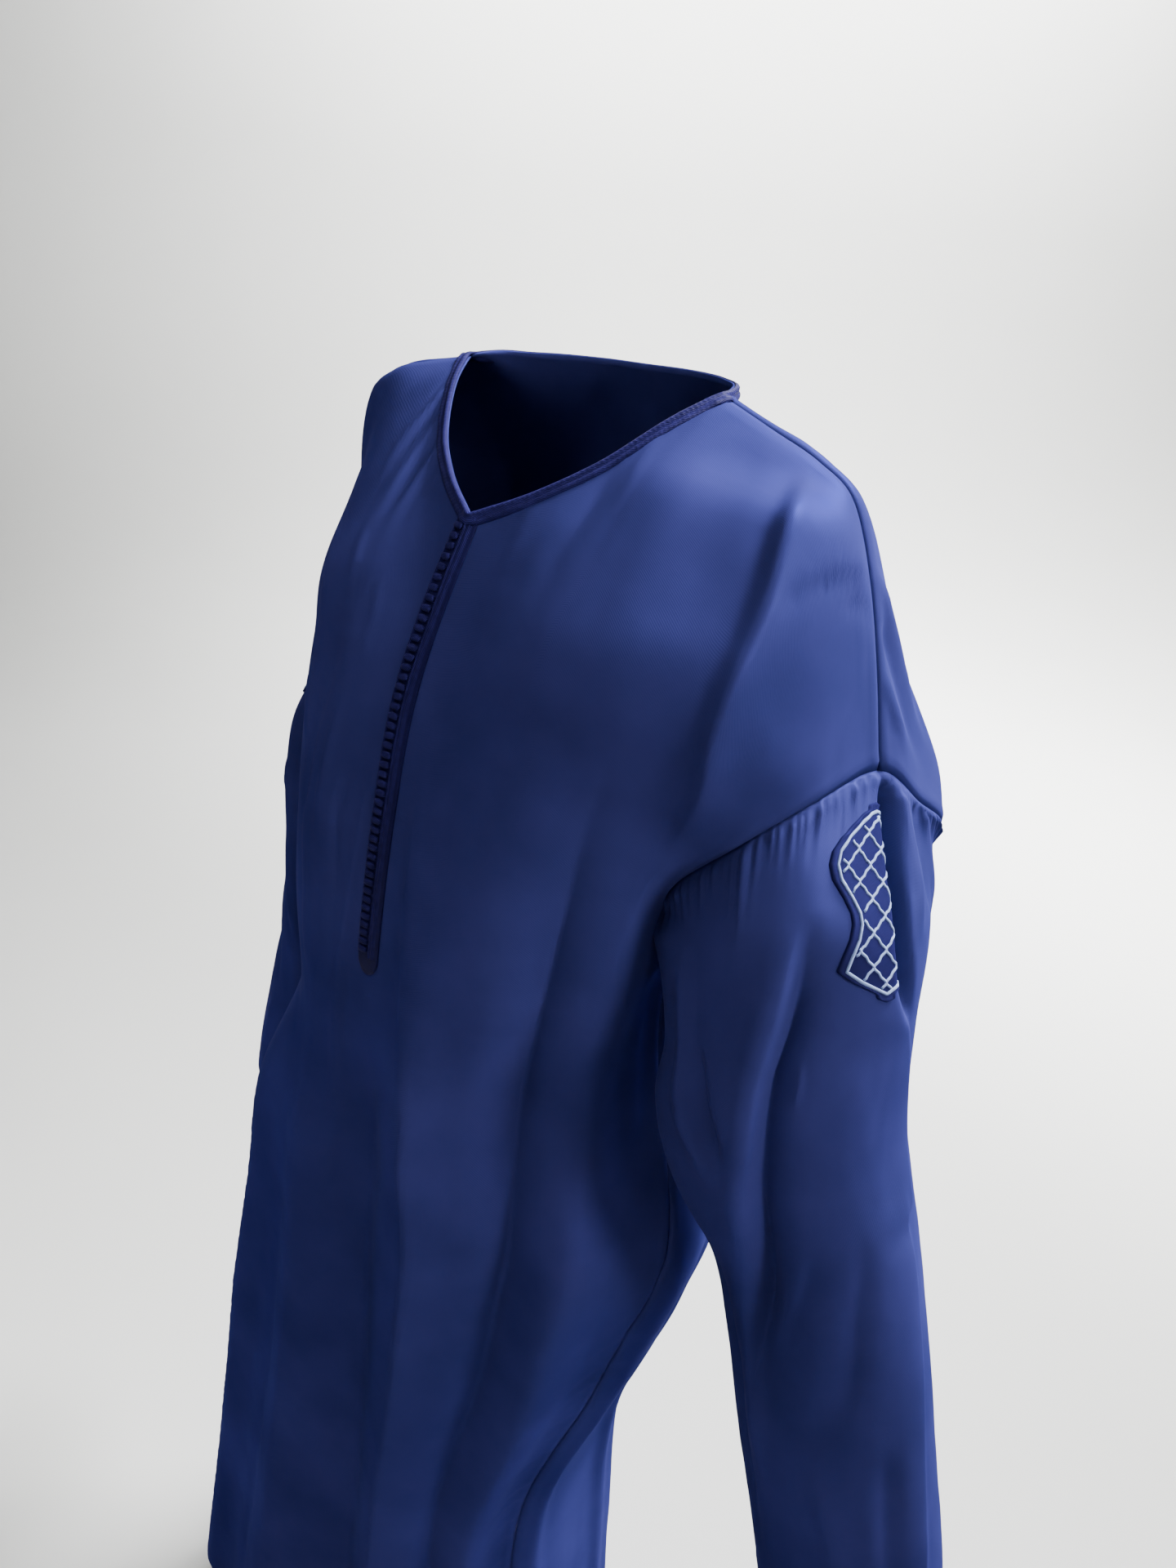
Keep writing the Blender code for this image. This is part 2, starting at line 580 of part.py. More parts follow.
def swept_bar(name, bottoms, tops, collection, finish, ring=False):
    """A closed bar on the cloth: its section's lower and upper points, station by station.

    Both arrays are stations by points.  A ring joins its last station to its first.
    """
    sections = np.concatenate([bottoms, tops[:, ::-1]], axis=1)
    stations, corners = sections.shape[:2]
    bar = bmesh.new()
    verts = [[bar.verts.new(point) for point in section] for section in sections]
    for i in range(stations if ring else stations - 1):
        here, after = verts[i], verts[(i + 1) % stations]
        for j in range(corners):
            k = (j + 1) % corners
            bar.faces.new((here[j], here[k], after[k], after[j]))
    if not ring:
        bar.faces.new(verts[0])
        bar.faces.new(verts[-1])
    bmesh.ops.recalc_face_normals(bar, faces=bar.faces)
    mesh = bpy.data.meshes.new(name)
    bar.to_mesh(mesh)
    bar.free()
    return place(mesh, collection, finish)


def neck_loop():
    """The neckline as one closed loop, with its outward normals."""
    points, lifts = [], []
    for is_front, columns in ((True, FRONT_NECK_COLUMNS), (False, BACK_NECK_COLUMNS)):
        surface, normals = panel_grid(is_front)
        middle = surface.shape[1] // 2
        columns_at = middle + np.linspace(-columns, columns, 2 * columns * NECK_STEPS + 1)
        if not is_front:
            columns_at = columns_at[::-1][1:-1]
        rows_at = np.zeros_like(columns_at)
        points.append(facet_point(surface, rows_at, columns_at))
        lifts.append(facet_point(normals, rows_at, columns_at))
    return np.concatenate(points), unit(np.concatenate(lifts))


def build_neck_braid(collection):
    """The braid round the neck hole, two ridges wide, one closed ring."""
    finish = material("braid_navy", BRAID_NAVY, 0.55, 0.1)
    tree = cloth_tree(panel_grid(True)[0], panel_grid(False)[0])
    edge, lift = neck_loop()
    ahead = unit(np.roll(edge, -1, axis=0) - edge)
    along = unit(ahead + np.roll(ahead, 1, axis=0))
    lift = unit(lift - along * np.sum(lift * along, axis=1, keepdims=True))
    away = np.cross(along, lift)
    mitre = 1 / np.sum(ahead * along, axis=1)
    shares = np.array([share for share, _ in BRAID_PROFILE])
    rises = NECK_BRAID_HEIGHT * np.array([rise for _, rise in BRAID_PROFILE])
    spans = (BRAID_INSET + NECK_BRAID_WIDTH * shares)[None, :] * mitre[:, None]
    spot = edge[:, None] + away[:, None] * spans[:, :, None]
    spot = seated(tree, spot)
    from_seam = (np.abs(edge[:, 0]) - SHOULDER_SEAM[0][1] * CM) / SEAM_BULK_REACH
    gap = NECK_GAP + SEAM_BULK * np.exp(-from_seam ** 2)
    spot = spot + (lift * gap[:, None])[:, None]
    lower, upper = spot, spot + lift[:, None] * rises[None, :, None]
    swept_bar("neck_braid", lower[:, BRAID_UNDERSIDE], upper, collection, finish, ring=True)


def centre_line_frames(distances):
    """Points, outward and leftward directions on the front's centre line below the V."""
    surface, normals = panel_grid(True)
    middle = surface.shape[1] // 2
    line, out = surface[:, middle], normals[:, middle]
    left = unit(surface[:, middle + 1] - surface[:, middle - 1])
    reach = np.concatenate([[0], np.cumsum(np.linalg.norm(np.diff(line, axis=0), axis=1))])
    return [np.stack([np.interp(distances, reach, values[:, i]) for i in range(3)], axis=1)
            for values in (line, out, left)]


def build_placket(collection):
    """The closed front: a ladder of loops and knots beside a plain ridged band."""
    finish = material("placket_navy", BRAID_NAVY, 0.5, 0.1)
    tree = cloth_tree(panel_grid(True)[0])
    start = NECK_BRAID_WIDTH * PLACKET_TOP + BAND_SPACING
    pitch = (PLACKET_LENGTH - start) / LOOP_COUNT
    steps = start + pitch * np.arange(2 * LOOP_COUNT + 1) / 2
    raised = np.where(np.arange(len(steps)) % 2 == 1, LOOP_HEIGHT, LOOP_SINK)
    point, out, left = centre_line_frames(steps)
    edge = -(LOOP_BAND_WIDTH + BAND_SPACING / 2)
    spans = edge + LOOP_BAND_WIDTH * np.array(LOOP_SHARES)
    spot = point[:, None] + left[:, None] * spans[None, :, None]
    spot = seated(tree, spot)
    heights = np.where(np.array(LOOP_RAISED)[None, :], raised[:, None], LOOP_EDGE)
    lower = (spot + out[:, None] * LAY_GAP)[:, [0, -1]]
    upper = spot + out[:, None] * (LAY_GAP + heights[:, :, None])
    swept_bar("placket_loops", lower, upper, collection, finish)

    steps = np.linspace(start, PLACKET_LENGTH, PLAIN_BAND_STEPS)
    point, out, left = centre_line_frames(steps)
    spans = BAND_SPACING / 2 + PLAIN_BAND_WIDTH * np.array([share for share, _ in BRAID_PROFILE])
    rises = PLAIN_BAND_HEIGHT * np.array([rise for _, rise in BRAID_PROFILE])
    spot = point[:, None] + left[:, None] * spans[None, :, None]
    spot = seated(tree, spot)
    lower = (spot + out[:, None] * LAY_GAP)[:, [0, -1]]
    upper = spot + out[:, None] * (LAY_GAP + rises[None, :, None])
    swept_bar("placket_band", lower, upper, collection, finish)


def build_patches(collection):
    """The waisted patch on each sleeve, below its head on the shoulder line."""
    finish = material("patch_navy", PATCH_NAVY, 0.5, 0.1)
    shares = np.linspace(0, 1, PATCH_ROWS)
    outline = np.array(PATCH_OUTLINE)
    half_widths = np.interp(shares, outline[:, 0], outline[:, 1])
    for name, is_left in (("patch_left", True), ("patch_right", False)):
        grid = solid_sleeve_grid(is_left)
        grid = np.concatenate([grid[:, -1 - GATHERS:-1], grid[:, :GATHERS + 1]], axis=1)
        girth = np.linalg.norm(np.diff(grid[4], axis=0), axis=1).sum() / CM
        per_column = girth / (grid.shape[1] - 1)
        fall = np.linalg.norm(np.diff(grid[:, GATHERS], axis=0), axis=1) / CM
        reach = np.concatenate([[0], np.cumsum(fall)])
        rows_at = np.interp(PATCH_START + PATCH_LENGTH * shares, reach, np.arange(len(reach)))
        sides = np.linspace(-1, 1, PATCH_COLUMNS + 1)
        columns_at = GATHERS + sides[None, :] * half_widths[:, None] / per_column
        rows_at = np.broadcast_to(rows_at[:, None], columns_at.shape)
        spot = facet_point(grid, rows_at, columns_at)
        out = unit(np.cross(np.gradient(spot, axis=1), np.gradient(spot, axis=0)))
        out = out if is_left else -out
        spot = seated(cloth_tree(grid), spot)
        top = spot + out * (PATCH_GAP + PATCH_THICKNESS)
        add_wall(name, top, spot + out * PATCH_GAP, collection, finish)


def main():
    """Build the garment."""
    for old in list(bpy.data.objects):
        bpy.data.objects.remove(old, do_unlink=True)
    garment = bpy.data.collections.new("djellaba")
    bpy.context.scene.collection.children.link(garment)
    build_panels(garment)
    build_sleeves(garment)
    build_neck_braid(garment)
    build_placket(garment)
    build_patches(garment)


main()
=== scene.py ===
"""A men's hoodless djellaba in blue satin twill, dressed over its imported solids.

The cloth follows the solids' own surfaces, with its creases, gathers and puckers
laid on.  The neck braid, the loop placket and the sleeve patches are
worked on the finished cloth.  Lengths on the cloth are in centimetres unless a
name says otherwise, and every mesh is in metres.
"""

import logging
import math
from dataclasses import dataclass, field
from enum import Enum
from typing import Optional, Sequence

import bmesh
import bpy
import numpy as np
from mathutils import Matrix, Vector, noise


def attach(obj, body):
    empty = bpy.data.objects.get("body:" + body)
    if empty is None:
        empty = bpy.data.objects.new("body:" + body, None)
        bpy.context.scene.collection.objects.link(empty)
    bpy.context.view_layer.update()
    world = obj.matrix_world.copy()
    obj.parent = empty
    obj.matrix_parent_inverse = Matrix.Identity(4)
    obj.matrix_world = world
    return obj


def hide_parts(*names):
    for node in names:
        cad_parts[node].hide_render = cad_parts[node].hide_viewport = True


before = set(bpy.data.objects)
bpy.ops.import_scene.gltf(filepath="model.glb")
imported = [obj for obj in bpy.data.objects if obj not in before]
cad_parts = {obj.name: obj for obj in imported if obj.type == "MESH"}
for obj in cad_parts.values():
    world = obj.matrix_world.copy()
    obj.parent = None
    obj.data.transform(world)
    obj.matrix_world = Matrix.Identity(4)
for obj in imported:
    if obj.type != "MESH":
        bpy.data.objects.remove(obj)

LOG = logging.getLogger("djellaba")
CM = 0.01
MM = 0.001
BODY = "root"
Array = np.ndarray
Piece, Material, Socket = bpy.types.Object, bpy.types.Material, bpy.types.NodeSocket
Shape = bmesh.types.BMesh
# How many of its own widths a crease reaches to either side, and into how many
# steps each stretch of its route is divided.
CREASE_REACH = 2.6
ROUTE_STEPS = 8
# How close, in metres, points of a sheet and of a strip lie that are one.
SHEET_MERGE, STRIP_MERGE = 2e-5, 5e-6
# The width of the step where a turned hem begins, a distance past every seam, and
# room for rounding where places are compared.
HEM_STEP, FAR, ROUNDING = 1.0 * MM, 1.0, 1e-6

# Cloth lengths down a panel, from the shoulder line.
ARMHOLE_DROP = 28.0
HEM_DROP = 137.0
NECK_SHARE = 0.30
SEAM_BLEND_FROM = 0.7
# Where the shoulder seam's slope sets in beside the neckline, and where hanging
# folds end beside the side seams: shares of a half panel, start and length.
SEAM_SLOPE_BEFORE, SEAM_SLOPE_OVER = 0.08, 0.10
FOLDS_END_FROM, FOLDS_END_OVER = 0.9, 0.1

# The neckline: share of the way from the centre to the shoulder, x, y, z.
FRONT_NECKLINE = (
    (0.00, 0.0, -8.9, -8.8), (0.32, 3.6, -6.9, -6.9), (0.59, 6.5, -4.6, -4.7),
    (0.84, 9.1, -1.2, -1.7), (1.00, 10.4, 1.4, -0.35),
)
BACK_NECKLINE = (
    (0.00, 0.0, 8.3, 0.6), (0.35, 4.0, 7.7, 0.6), (0.68, 7.9, 5.6, 0.4),
    (0.88, 9.9, 3.4, 0.1), (1.00, 10.4, 1.4, -0.35),
)
SHOULDER_SEAM = (
    (0.00, 10.4, 1.4, -0.35), (0.22, 14.2, 1.3, -1.8), (0.40, 17.6, 1.1, -3.1),
    (0.54, 20.1, 0.8, -4.6), (0.70, 22.2, 0.7, -8.6), (0.86, 24.0, 0.8, -14.2),
    (1.00, 25.4, 1.0, -19.8),
)
# Rows across a half panel: drop, then a point at each guide.
GUIDES = (0.0, 0.2, 0.42, 0.62, 0.82, 1.0)
FRONT_YOKE_ROWS = (
    (6.2, (-0.4, -11.1, -14.4), (6.3, -11.3, -13.3), (13.0, -10.2, -12.4),
     (18.6, -7.7, -13.0), (22.5, -5.8, -16.7), (24.0, -4.5, -20.8)),
    (12.8, (-0.8, -13.0, -20.7), (6.8, -13.4, -20.0), (13.5, -12.5, -19.4),
     (18.4, -9.5, -19.6), (20.7, -8.0, -21.2), (21.3, -7.3, -23.6)),
    (19.8, (-0.8, -14.2, -27.5), (6.8, -14.7, -27.2), (12.6, -13.5, -27.0),
     (16.6, -10.4, -27.0), (17.3, -8.6, -27.9), (17.0, -6.7, -29.2)),
    (28.0, (-1.0, -15.0, -36.5), (6.3, -15.3, -36.5), (12.2, -14.0, -36.5),
     (15.8, -10.4, -36.3), (16.4, -6.1, -36.0), (16.2, -1.8, -35.4)),
)
BACK_YOKE_ROWS = (
    (6.2, (0.0, 10.4, -7.2), (6.8, 10.6, -7.0), (13.0, 10.0, -7.5),
     (18.9, 8.0, -9.8), (23.8, 6.6, -15.6), (27.2, 4.5, -22.2)),
    (12.8, (0.0, 11.9, -16.2), (7.2, 12.2, -16.2), (14.4, 11.9, -16.6),
     (21.2, 10.4, -18.2), (26.4, 8.7, -21.4), (28.2, 7.4, -24.5)),
    (19.8, (0.0, 12.2, -25.2), (7.2, 12.5, -25.2), (14.0, 12.1, -25.5),
     (19.8, 10.8, -26.4), (23.4, 9.2, -27.9), (24.3, 8.1, -29.2)),
    (28.0, (0.0, 11.7, -36.5), (6.8, 12.0, -36.5), (12.2, 11.3, -36.5),
     (15.9, 8.6, -36.3), (16.9, 3.8, -36.0), (16.2, -1.8, -35.4)),
)
# Level rings of the skirt: drop, height, centre x, front y, back y, then the
# side seam's x and y on the left and on the right.
SKIRT_RINGS = (
    (42.0, -50.0, -1.2, -15.3, 12.2, 16.4, -1.4, -15.3, -6.5),
    (52.5, -60.5, -1.4, -15.4, 13.0, 21.0, -2.4, -19.6, -8.2),
    (65.0, -73.0, -1.6, -15.6, 13.4, 19.6, -3.6, -21.4, -8.0),
    (82.0, -90.0, -1.8, -15.8, 14.0, 15.2, -5.0, -24.2, -7.6),
    (108.0, -115.0, -2.3, -17.0, 15.4, 15.8, -4.0, -27.2, -7.5),
    (137.0, -143.0, -3.0, -18.5, 17.0, 18.6, -3.0, -30.8, -7.5),
)
RING_SQUARENESS = 2.3

# How the right arm's side differs from the left's mirror image.
RIGHT_ARM_FROM, RIGHT_ARM_BLEND = 11.0, 10.0
RIGHT_BACK_FROM, RIGHT_BACK_BLEND = 7.5, 12.5
RIGHT_LIFT_FROM = 8.0
SHOULDER_LEVEL, RIGHT_ARM_SETTLE = 2.0, 15.0
RIGHT_ARM_IN, RIGHT_ARM_BACK, RIGHT_SHOULDER_UP = 3.4, 5.0, 1.3
RIGHT_CUFF_IN, RIGHT_SLEEVE_CLEAR = 2.6, 1.4
RIGHT_CUFF_BACK, RIGHT_CUFF_BEND = 3.8, 1.8

# Hanging folds: place at the top and at the hem, drop where it starts and is
# full, height, half width in shares of the half panel.
FRONT_FOLDS = (
    (-0.01, 0.0, 20.0, 56.0, -0.5, 0.10), (-0.16, -0.22, 34.0, 80.0, 0.9, 0.10),
    (0.30, 0.34, 30.0, 70.0, 0.8, 0.15), (0.88, 0.74, 14.0, 60.0, -0.8, 0.18),
    (0.92, 0.86, 44.0, 80.0, 1.0, 0.12), (-0.42, -0.50, 30.0, 74.0, -0.9, 0.13),
    (-0.66, -0.72, 40.0, 86.0, 0.9, 0.12), (-0.86, -0.90, 48.0, 90.0, -0.8, 0.10),
)
BACK_FOLDS = (
    (0.02, 0.05, 26.0, 76.0, 1.3, 0.15), (0.34, 0.32, 30.0, 80.0, -1.6, 0.14),
    (0.60, 0.64, 36.0, 84.0, 1.3, 0.13), (-0.30, -0.34, 28.0, 78.0, -1.5, 0.15),
    (-0.58, -0.62, 34.0, 84.0, 1.5, 0.13), (-0.82, -0.85, 44.0, 90.0, -1.2, 0.10),
)
# The sleeve: distance down it, outer edge x and z, inner edge x and z, middle y,
# half depth and the turn of its shoulder line in degrees.
SLEEVE_SECTIONS = (
    (7.0, 30.6, -28.2, 17.2, -39.8, -0.4, 9.0, 20.0),
    (14.0, 31.7, -34.8, 17.0, -44.6, -1.2, 9.4, 10.0),
    (22.0, 33.0, -42.4, 18.8, -50.0, -1.2, 8.6, 3.0),
    (30.0, 35.8, -50.0, 22.6, -55.6, -0.9, 7.2, 0.0),
    (38.0, 38.5, -57.4, 25.0, -61.8, -0.9, 6.6, 0.0),
    (46.0, 41.1, -64.8, 27.4, -68.6, -1.4, 6.4, 0.0),
    (54.0, 43.6, -72.0, 30.2, -75.6, -1.9, 6.3, 0.0),
    (61.0, 45.6, -78.4, 32.6, -81.8, -2.3, 6.2, 0.0),
)
CUFF_LENGTH = SLEEVE_SECTIONS[-1][0]


class Cut(Enum):
    """The two panels of the body."""

    FRONT = "front"
    BACK = "back"


class Arm(Enum):
    """The wearer's two sides."""

    LEFT = "left"
    RIGHT = "right"


@dataclass(frozen=True)
class Crease:
    """One listed ridge or trough laid on the cloth.

    The route is a line of places across or round the piece and centimetres down
    it.  Height and the widths are in millimetres; the widths are those on the
    viewer's right and left of a route that runs down.
    """

    route: tuple
    height: float
    right: float
    left: float
    starts: float = 0.25
    ends: float = 0.35
    sharpness: float = 2.0


def smooth_curve(stations: Sequence[float], points: Array, at: Array,
                 first_slope: Optional[Array] = None, last_slope: Optional[Array] = None) -> Array:
    """Read a smooth curve through points at other stations.

    Args:
        stations: one rising number per point.
        points: the points, first axis along the curve.
        at: where the curve is read.
        first_slope: the slope at the first point, if it is set.
        last_slope: the slope at the last point, if it is set.

    Returns:
        One point for each place in at.
    """
    stations = np.asarray(stations, float)
    points = np.asarray(points, float)
    at = np.clip(np.asarray(at, float), stations[0], stations[-1])
    spread = (-1,) + (1,) * (points.ndim - 1)
    step = np.diff(stations).reshape(spread)
    rise = np.diff(points, axis=0) / step
    slope = np.empty_like(points)
    slope[1:-1] = (rise[:-1] * step[1:] + rise[1:] * step[:-1]) / (step[1:] + step[:-1])
    slope[0] = rise[0] if first_slope is None else first_slope
    slope[-1] = rise[-1] if last_slope is None else last_slope
    k = np.clip(np.searchsorted(stations, at, side="right") - 1, 0, len(stations) - 2)
    width = (stations[k + 1] - stations[k]).reshape(spread)
    t = (at - stations[k]).reshape(spread) / width
    return ((2 * t**3 - 3 * t**2 + 1) * points[k] + (t**3 - 2 * t**2 + t) * width * slope[k]
            + (3 * t**2 - 2 * t**3) * points[k + 1] + (t**3 - t**2) * width * slope[k + 1])


def ease(x: Array) -> Array:
    """Rise smoothly from 0 to 1."""
    x = np.clip(x, 0.0, 1.0)
    return x * x * (3.0 - 2.0 * x)


def bell(distance: Array, width: float) -> Array:
    """Fall smoothly from 1 to 0 on both sides, to about a third at the width."""
    return np.exp(-(distance / width) ** 2)


def read_columns(at: Array, stations: Array, values: Array) -> Array:
    """Straight-line readings of a table's columns.

    Args:
        at: where they are read.
        stations: the rising place of each row.
        values: the table, rows by columns.

    Returns:
        One row of readings for each place in at.
    """
    return np.stack([np.interp(at, stations, column) for column in values.T], axis=1)


def travelled(points: Array, axis: int = 0) -> Array:
    """Distance gone from the first point along one axis of a grid.

    Args:
        points: the points, with their coordinates last.
        axis: the axis that is followed.

    Returns:
        One distance a point.
    """
    steps = np.linalg.norm(np.diff(points, axis=axis), axis=-1).cumsum(axis=axis)
    return np.concatenate([np.zeros_like(steps.take([0], axis=axis)), steps], axis=axis)


def unit(vectors: Array) -> Array:
    """Vectors of length one, along the last axis."""
    return vectors / np.maximum(np.linalg.norm(vectors, axis=-1, keepdims=True), 1e-12)


def on_right(points: Array, reach: float = 0.0) -> Array:
    """Carry points of the left side across to the wearer's right.

    Args:
        points: points in centimetres.
        reach: share of the way down the sleeve, 0 on the panels.

    Returns:
        The points on the right side.
    """
    points = np.array(points, float)
    out = ease((points[..., 0] - RIGHT_ARM_FROM) / RIGHT_ARM_BLEND)
    back = ease((points[..., 0] - RIGHT_BACK_FROM) / RIGHT_BACK_BLEND)
    below = ease(-(points[..., 2] + SHOULDER_LEVEL) / RIGHT_ARM_SETTLE)
    lift = ease((points[..., 0] - RIGHT_LIFT_FROM) / RIGHT_ARM_BLEND) * (1 - below)
    points[..., 0] -= RIGHT_ARM_IN * out * below + RIGHT_CUFF_IN * reach ** RIGHT_CUFF_BEND
    points[..., 1] += RIGHT_ARM_BACK * back * below + RIGHT_CUFF_BACK * reach ** RIGHT_CUFF_BEND
    points[..., 2] += RIGHT_SHOULDER_UP * lift
    points[..., 0] *= -1.0
    return points


def top_edge(across: Array, cut: Cut) -> Array:
    """Neckline, then shoulder seam.

    Args:
        across: signed places across the panel.
        cut: which panel.

    Returns:
        One point for each place.
    """
    share = np.abs(across)
    neck = np.asarray(FRONT_NECKLINE if cut is Cut.FRONT else BACK_NECKLINE, float)
    seam = np.asarray(SHOULDER_SEAM, float)
    on_neck = smooth_curve(neck[:, 0], neck[:, 1:], share / NECK_SHARE)
    on_seam = smooth_curve(seam[:, 0], seam[:, 1:], (share - NECK_SHARE) / (1 - NECK_SHARE))
    line = np.where((share < NECK_SHARE)[:, None], on_neck, on_seam)
    return np.where((across < 0)[:, None], on_right(line), line)


def ring_quarter(centre: tuple, side: tuple, height: float) -> Array:
    """Guide points of a level ring from a centre line to a side seam.

    Args:
        centre: x and y of the centre line.
        side: x and y of the side seam.
        height: the ring's z.

    Returns:
        One point for each guide.
    """
    turn = np.array(GUIDES) * math.pi / 2
    power = 2.0 / RING_SQUARENESS
    x = centre[0] + (side[0] - centre[0]) * np.sin(turn) ** power
    y = side[1] + (centre[1] - side[1]) * np.clip(np.cos(turn), 0, 1) ** power
    return np.stack([x, y, np.full_like(x, height)], axis=1)


def guide_rows(cut: Cut) -> tuple[Array, Array]:
    """A panel's rows of guide points.

    Args:
        cut: which panel.

    Returns:
        Each row's drop, and its points from the right edge to the left.
    """
    drops, rows = [], []
    for drop, *points in FRONT_YOKE_ROWS if cut is Cut.FRONT else BACK_YOKE_ROWS:
        left = np.asarray(points, float)
        drops.append(drop)
        rows.append(np.vstack([on_right(left[:0:-1]), left]))
    for drop, height, middle, front, back, left_x, left_y, right_x, right_y in SKIRT_RINGS:
        centre = (middle, front if cut is Cut.FRONT else back)
        left = ring_quarter(centre, (left_x, left_y), height)
        right = ring_quarter(centre, (right_x, right_y), height)
        drops.append(drop)
        rows.append(np.vstack([right[:0:-1], left]))
    return np.array(drops), np.array(rows)


def other_cut(cut: Cut) -> Cut:
    """The panel on the other side."""
    return Cut.BACK if cut is Cut.FRONT else Cut.FRONT


def panel_rows(across: Array, cut: Cut) -> tuple[Array, Array]:
    """Every row of a panel, read across it.

    Args:
        across: signed places across the panel.
        cut: which panel.

    Returns:
        Each row's drop, and its points.
    """
    places = np.array([-g for g in GUIDES[:0:-1]] + list(GUIDES))
    drops, rows = guide_rows(cut)
    _, others = guide_rows(other_cut(cut))
    reach = 2 * (1 - GUIDES[-2])
    lines = []
    for drop, row, other in zip(drops, rows, others):
        closed = drop >= ARMHOLE_DROP
        first = (row[1] - other[1]) / reach if closed else None
        last = (other[-2] - row[-2]) / reach if closed else None
        lines.append(smooth_curve(places, row, across, first, last))
    return drops, np.array(lines)


def panel_sheet(across: Array, drops_at: Array, cut: Cut) -> Array:
    """A panel through its rows, without its hanging folds.

    Args:
        across: signed places across the panel.
        drops_at: centimetres down the cloth.
        cut: which panel.

    Returns:
        Its points, rows by columns.
    """
    drops, lines = panel_rows(across, cut)
    _, other_lines = panel_rows(across, other_cut(cut))
    top = top_edge(across, cut)
    free_slope = (lines[0] - top) / drops[0]
    seam_slope = (lines[0] - other_lines[0]) / (2 * drops[0])
    past_neck = np.abs(across) - NECK_SHARE + SEAM_SLOPE_BEFORE
    blend = ease(past_neck / SEAM_SLOPE_OVER)[:, None]
    slope = free_slope * (1 - blend) + seam_slope * blend
    stations = np.concatenate([[0.0], drops])
    return smooth_curve(stations, np.concatenate([top[None], lines]), drops_at, slope)


def outward(grid: Array, cut: Cut) -> Array:
    """Unit normals of a panel's grid, turned away from the body."""
    normal = unit(np.cross(np.gradient(grid, axis=0), np.gradient(grid, axis=1)))
    return normal if cut is Cut.FRONT else -normal


def panel_surface(across: Array, drops_at: Array, cut: Cut) -> tuple[Array, Array]:
    """A hanging panel as its solid has it.

    Args:
        across: signed places across the panel, 1 at the left side seam.
        drops_at: centimetres down the cloth.
        cut: which panel.

    Returns:
        Its points in metres and their outward normals, as rows by columns.
    """
    sheet = panel_sheet(across, drops_at, cut)
    ends = np.array([-1.0, 1.0])
    apart = panel_sheet(ends, drops_at, other_cut(cut)) - panel_sheet(ends, drops_at, cut)
    apart *= (drops_at > ARMHOLE_DROP)[:, None, None] / 2
    for end, side in enumerate(ends):
        near = ease((across * side - SEAM_BLEND_FROM) / (1 - SEAM_BLEND_FROM))
        sheet = sheet + near[None, :, None] * apart[:, end:end + 1]
    height = np.zeros(sheet.shape[:2])
    for top, hem, start, full, lift, half in FRONT_FOLDS if cut is Cut.FRONT else BACK_FOLDS:
        place = top + (hem - top) * np.clip((drops_at - start) / (HEM_DROP - start), 0, 1)
        grow = ease((drops_at - start) / (full - start))
        height += lift * grow[:, None] * bell(across[None] - place[:, None], half)
    height *= (1 - ease((np.abs(across) - FOLDS_END_FROM) / FOLDS_END_OVER))[None]
    surface = (sheet + outward(sheet, cut) * height[:, :, None]) * CM
    return surface, outward(surface, cut)


def sleeve_section(row: Sequence[float], around: Array, arm: Arm) -> Array:
    """One oval section of a sleeve.

    Args:
        row: a row of the table of sections.
        around: places round it.
        arm: which sleeve.

    Returns:
        One point in metres for each place.
    """
    length, outer_x, outer_z, inner_x, inner_z, middle_y, half_depth, turn = row
    outer = np.array([outer_x, middle_y, outer_z])
    inner = np.array([inner_x, middle_y, inner_z])
    angle = around * 2 * math.pi + math.radians(turn) * np.cos(around * math.pi) ** 2
    depth = np.array([0.0, -half_depth, 0.0])
    ring = ((outer + inner) / 2 + np.cos(angle)[:, None] * (outer - inner) / 2
            + np.sin(angle)[:, None] * depth)
    if arm is Arm.RIGHT:
        ring = on_right(ring, length / CUFF_LENGTH)
        ring[:, 0] -= RIGHT_SLEEVE_CLEAR * (1 - np.cos(angle)) / 2
    return ring * CM


def bilinear(grid: Array, rows_at: Array, columns_at: Array) -> Array:
    """Values between a grid's points.

    Args:
        grid: the values, rows by columns.
        rows_at: fractional rows.
        columns_at: fractional columns, of the same shape.

    Returns:
        One value for each.
    """
    rows_at = np.clip(rows_at, 0, grid.shape[0] - 1)
    columns_at = np.clip(columns_at, 0, grid.shape[1] - 1)
    row = np.minimum(rows_at.astype(int), grid.shape[0] - 2)
    column = np.minimum(columns_at.astype(int), grid.shape[1] - 2)
    down = (rows_at - row)[..., None]
    along = (columns_at - column)[..., None]
    near = grid[row, column] * (1 - along) + grid[row, column + 1] * along
    far = grid[row + 1, column] * (1 - along) + grid[row + 1, column + 1] * along
    return near * (1 - down) + far * down


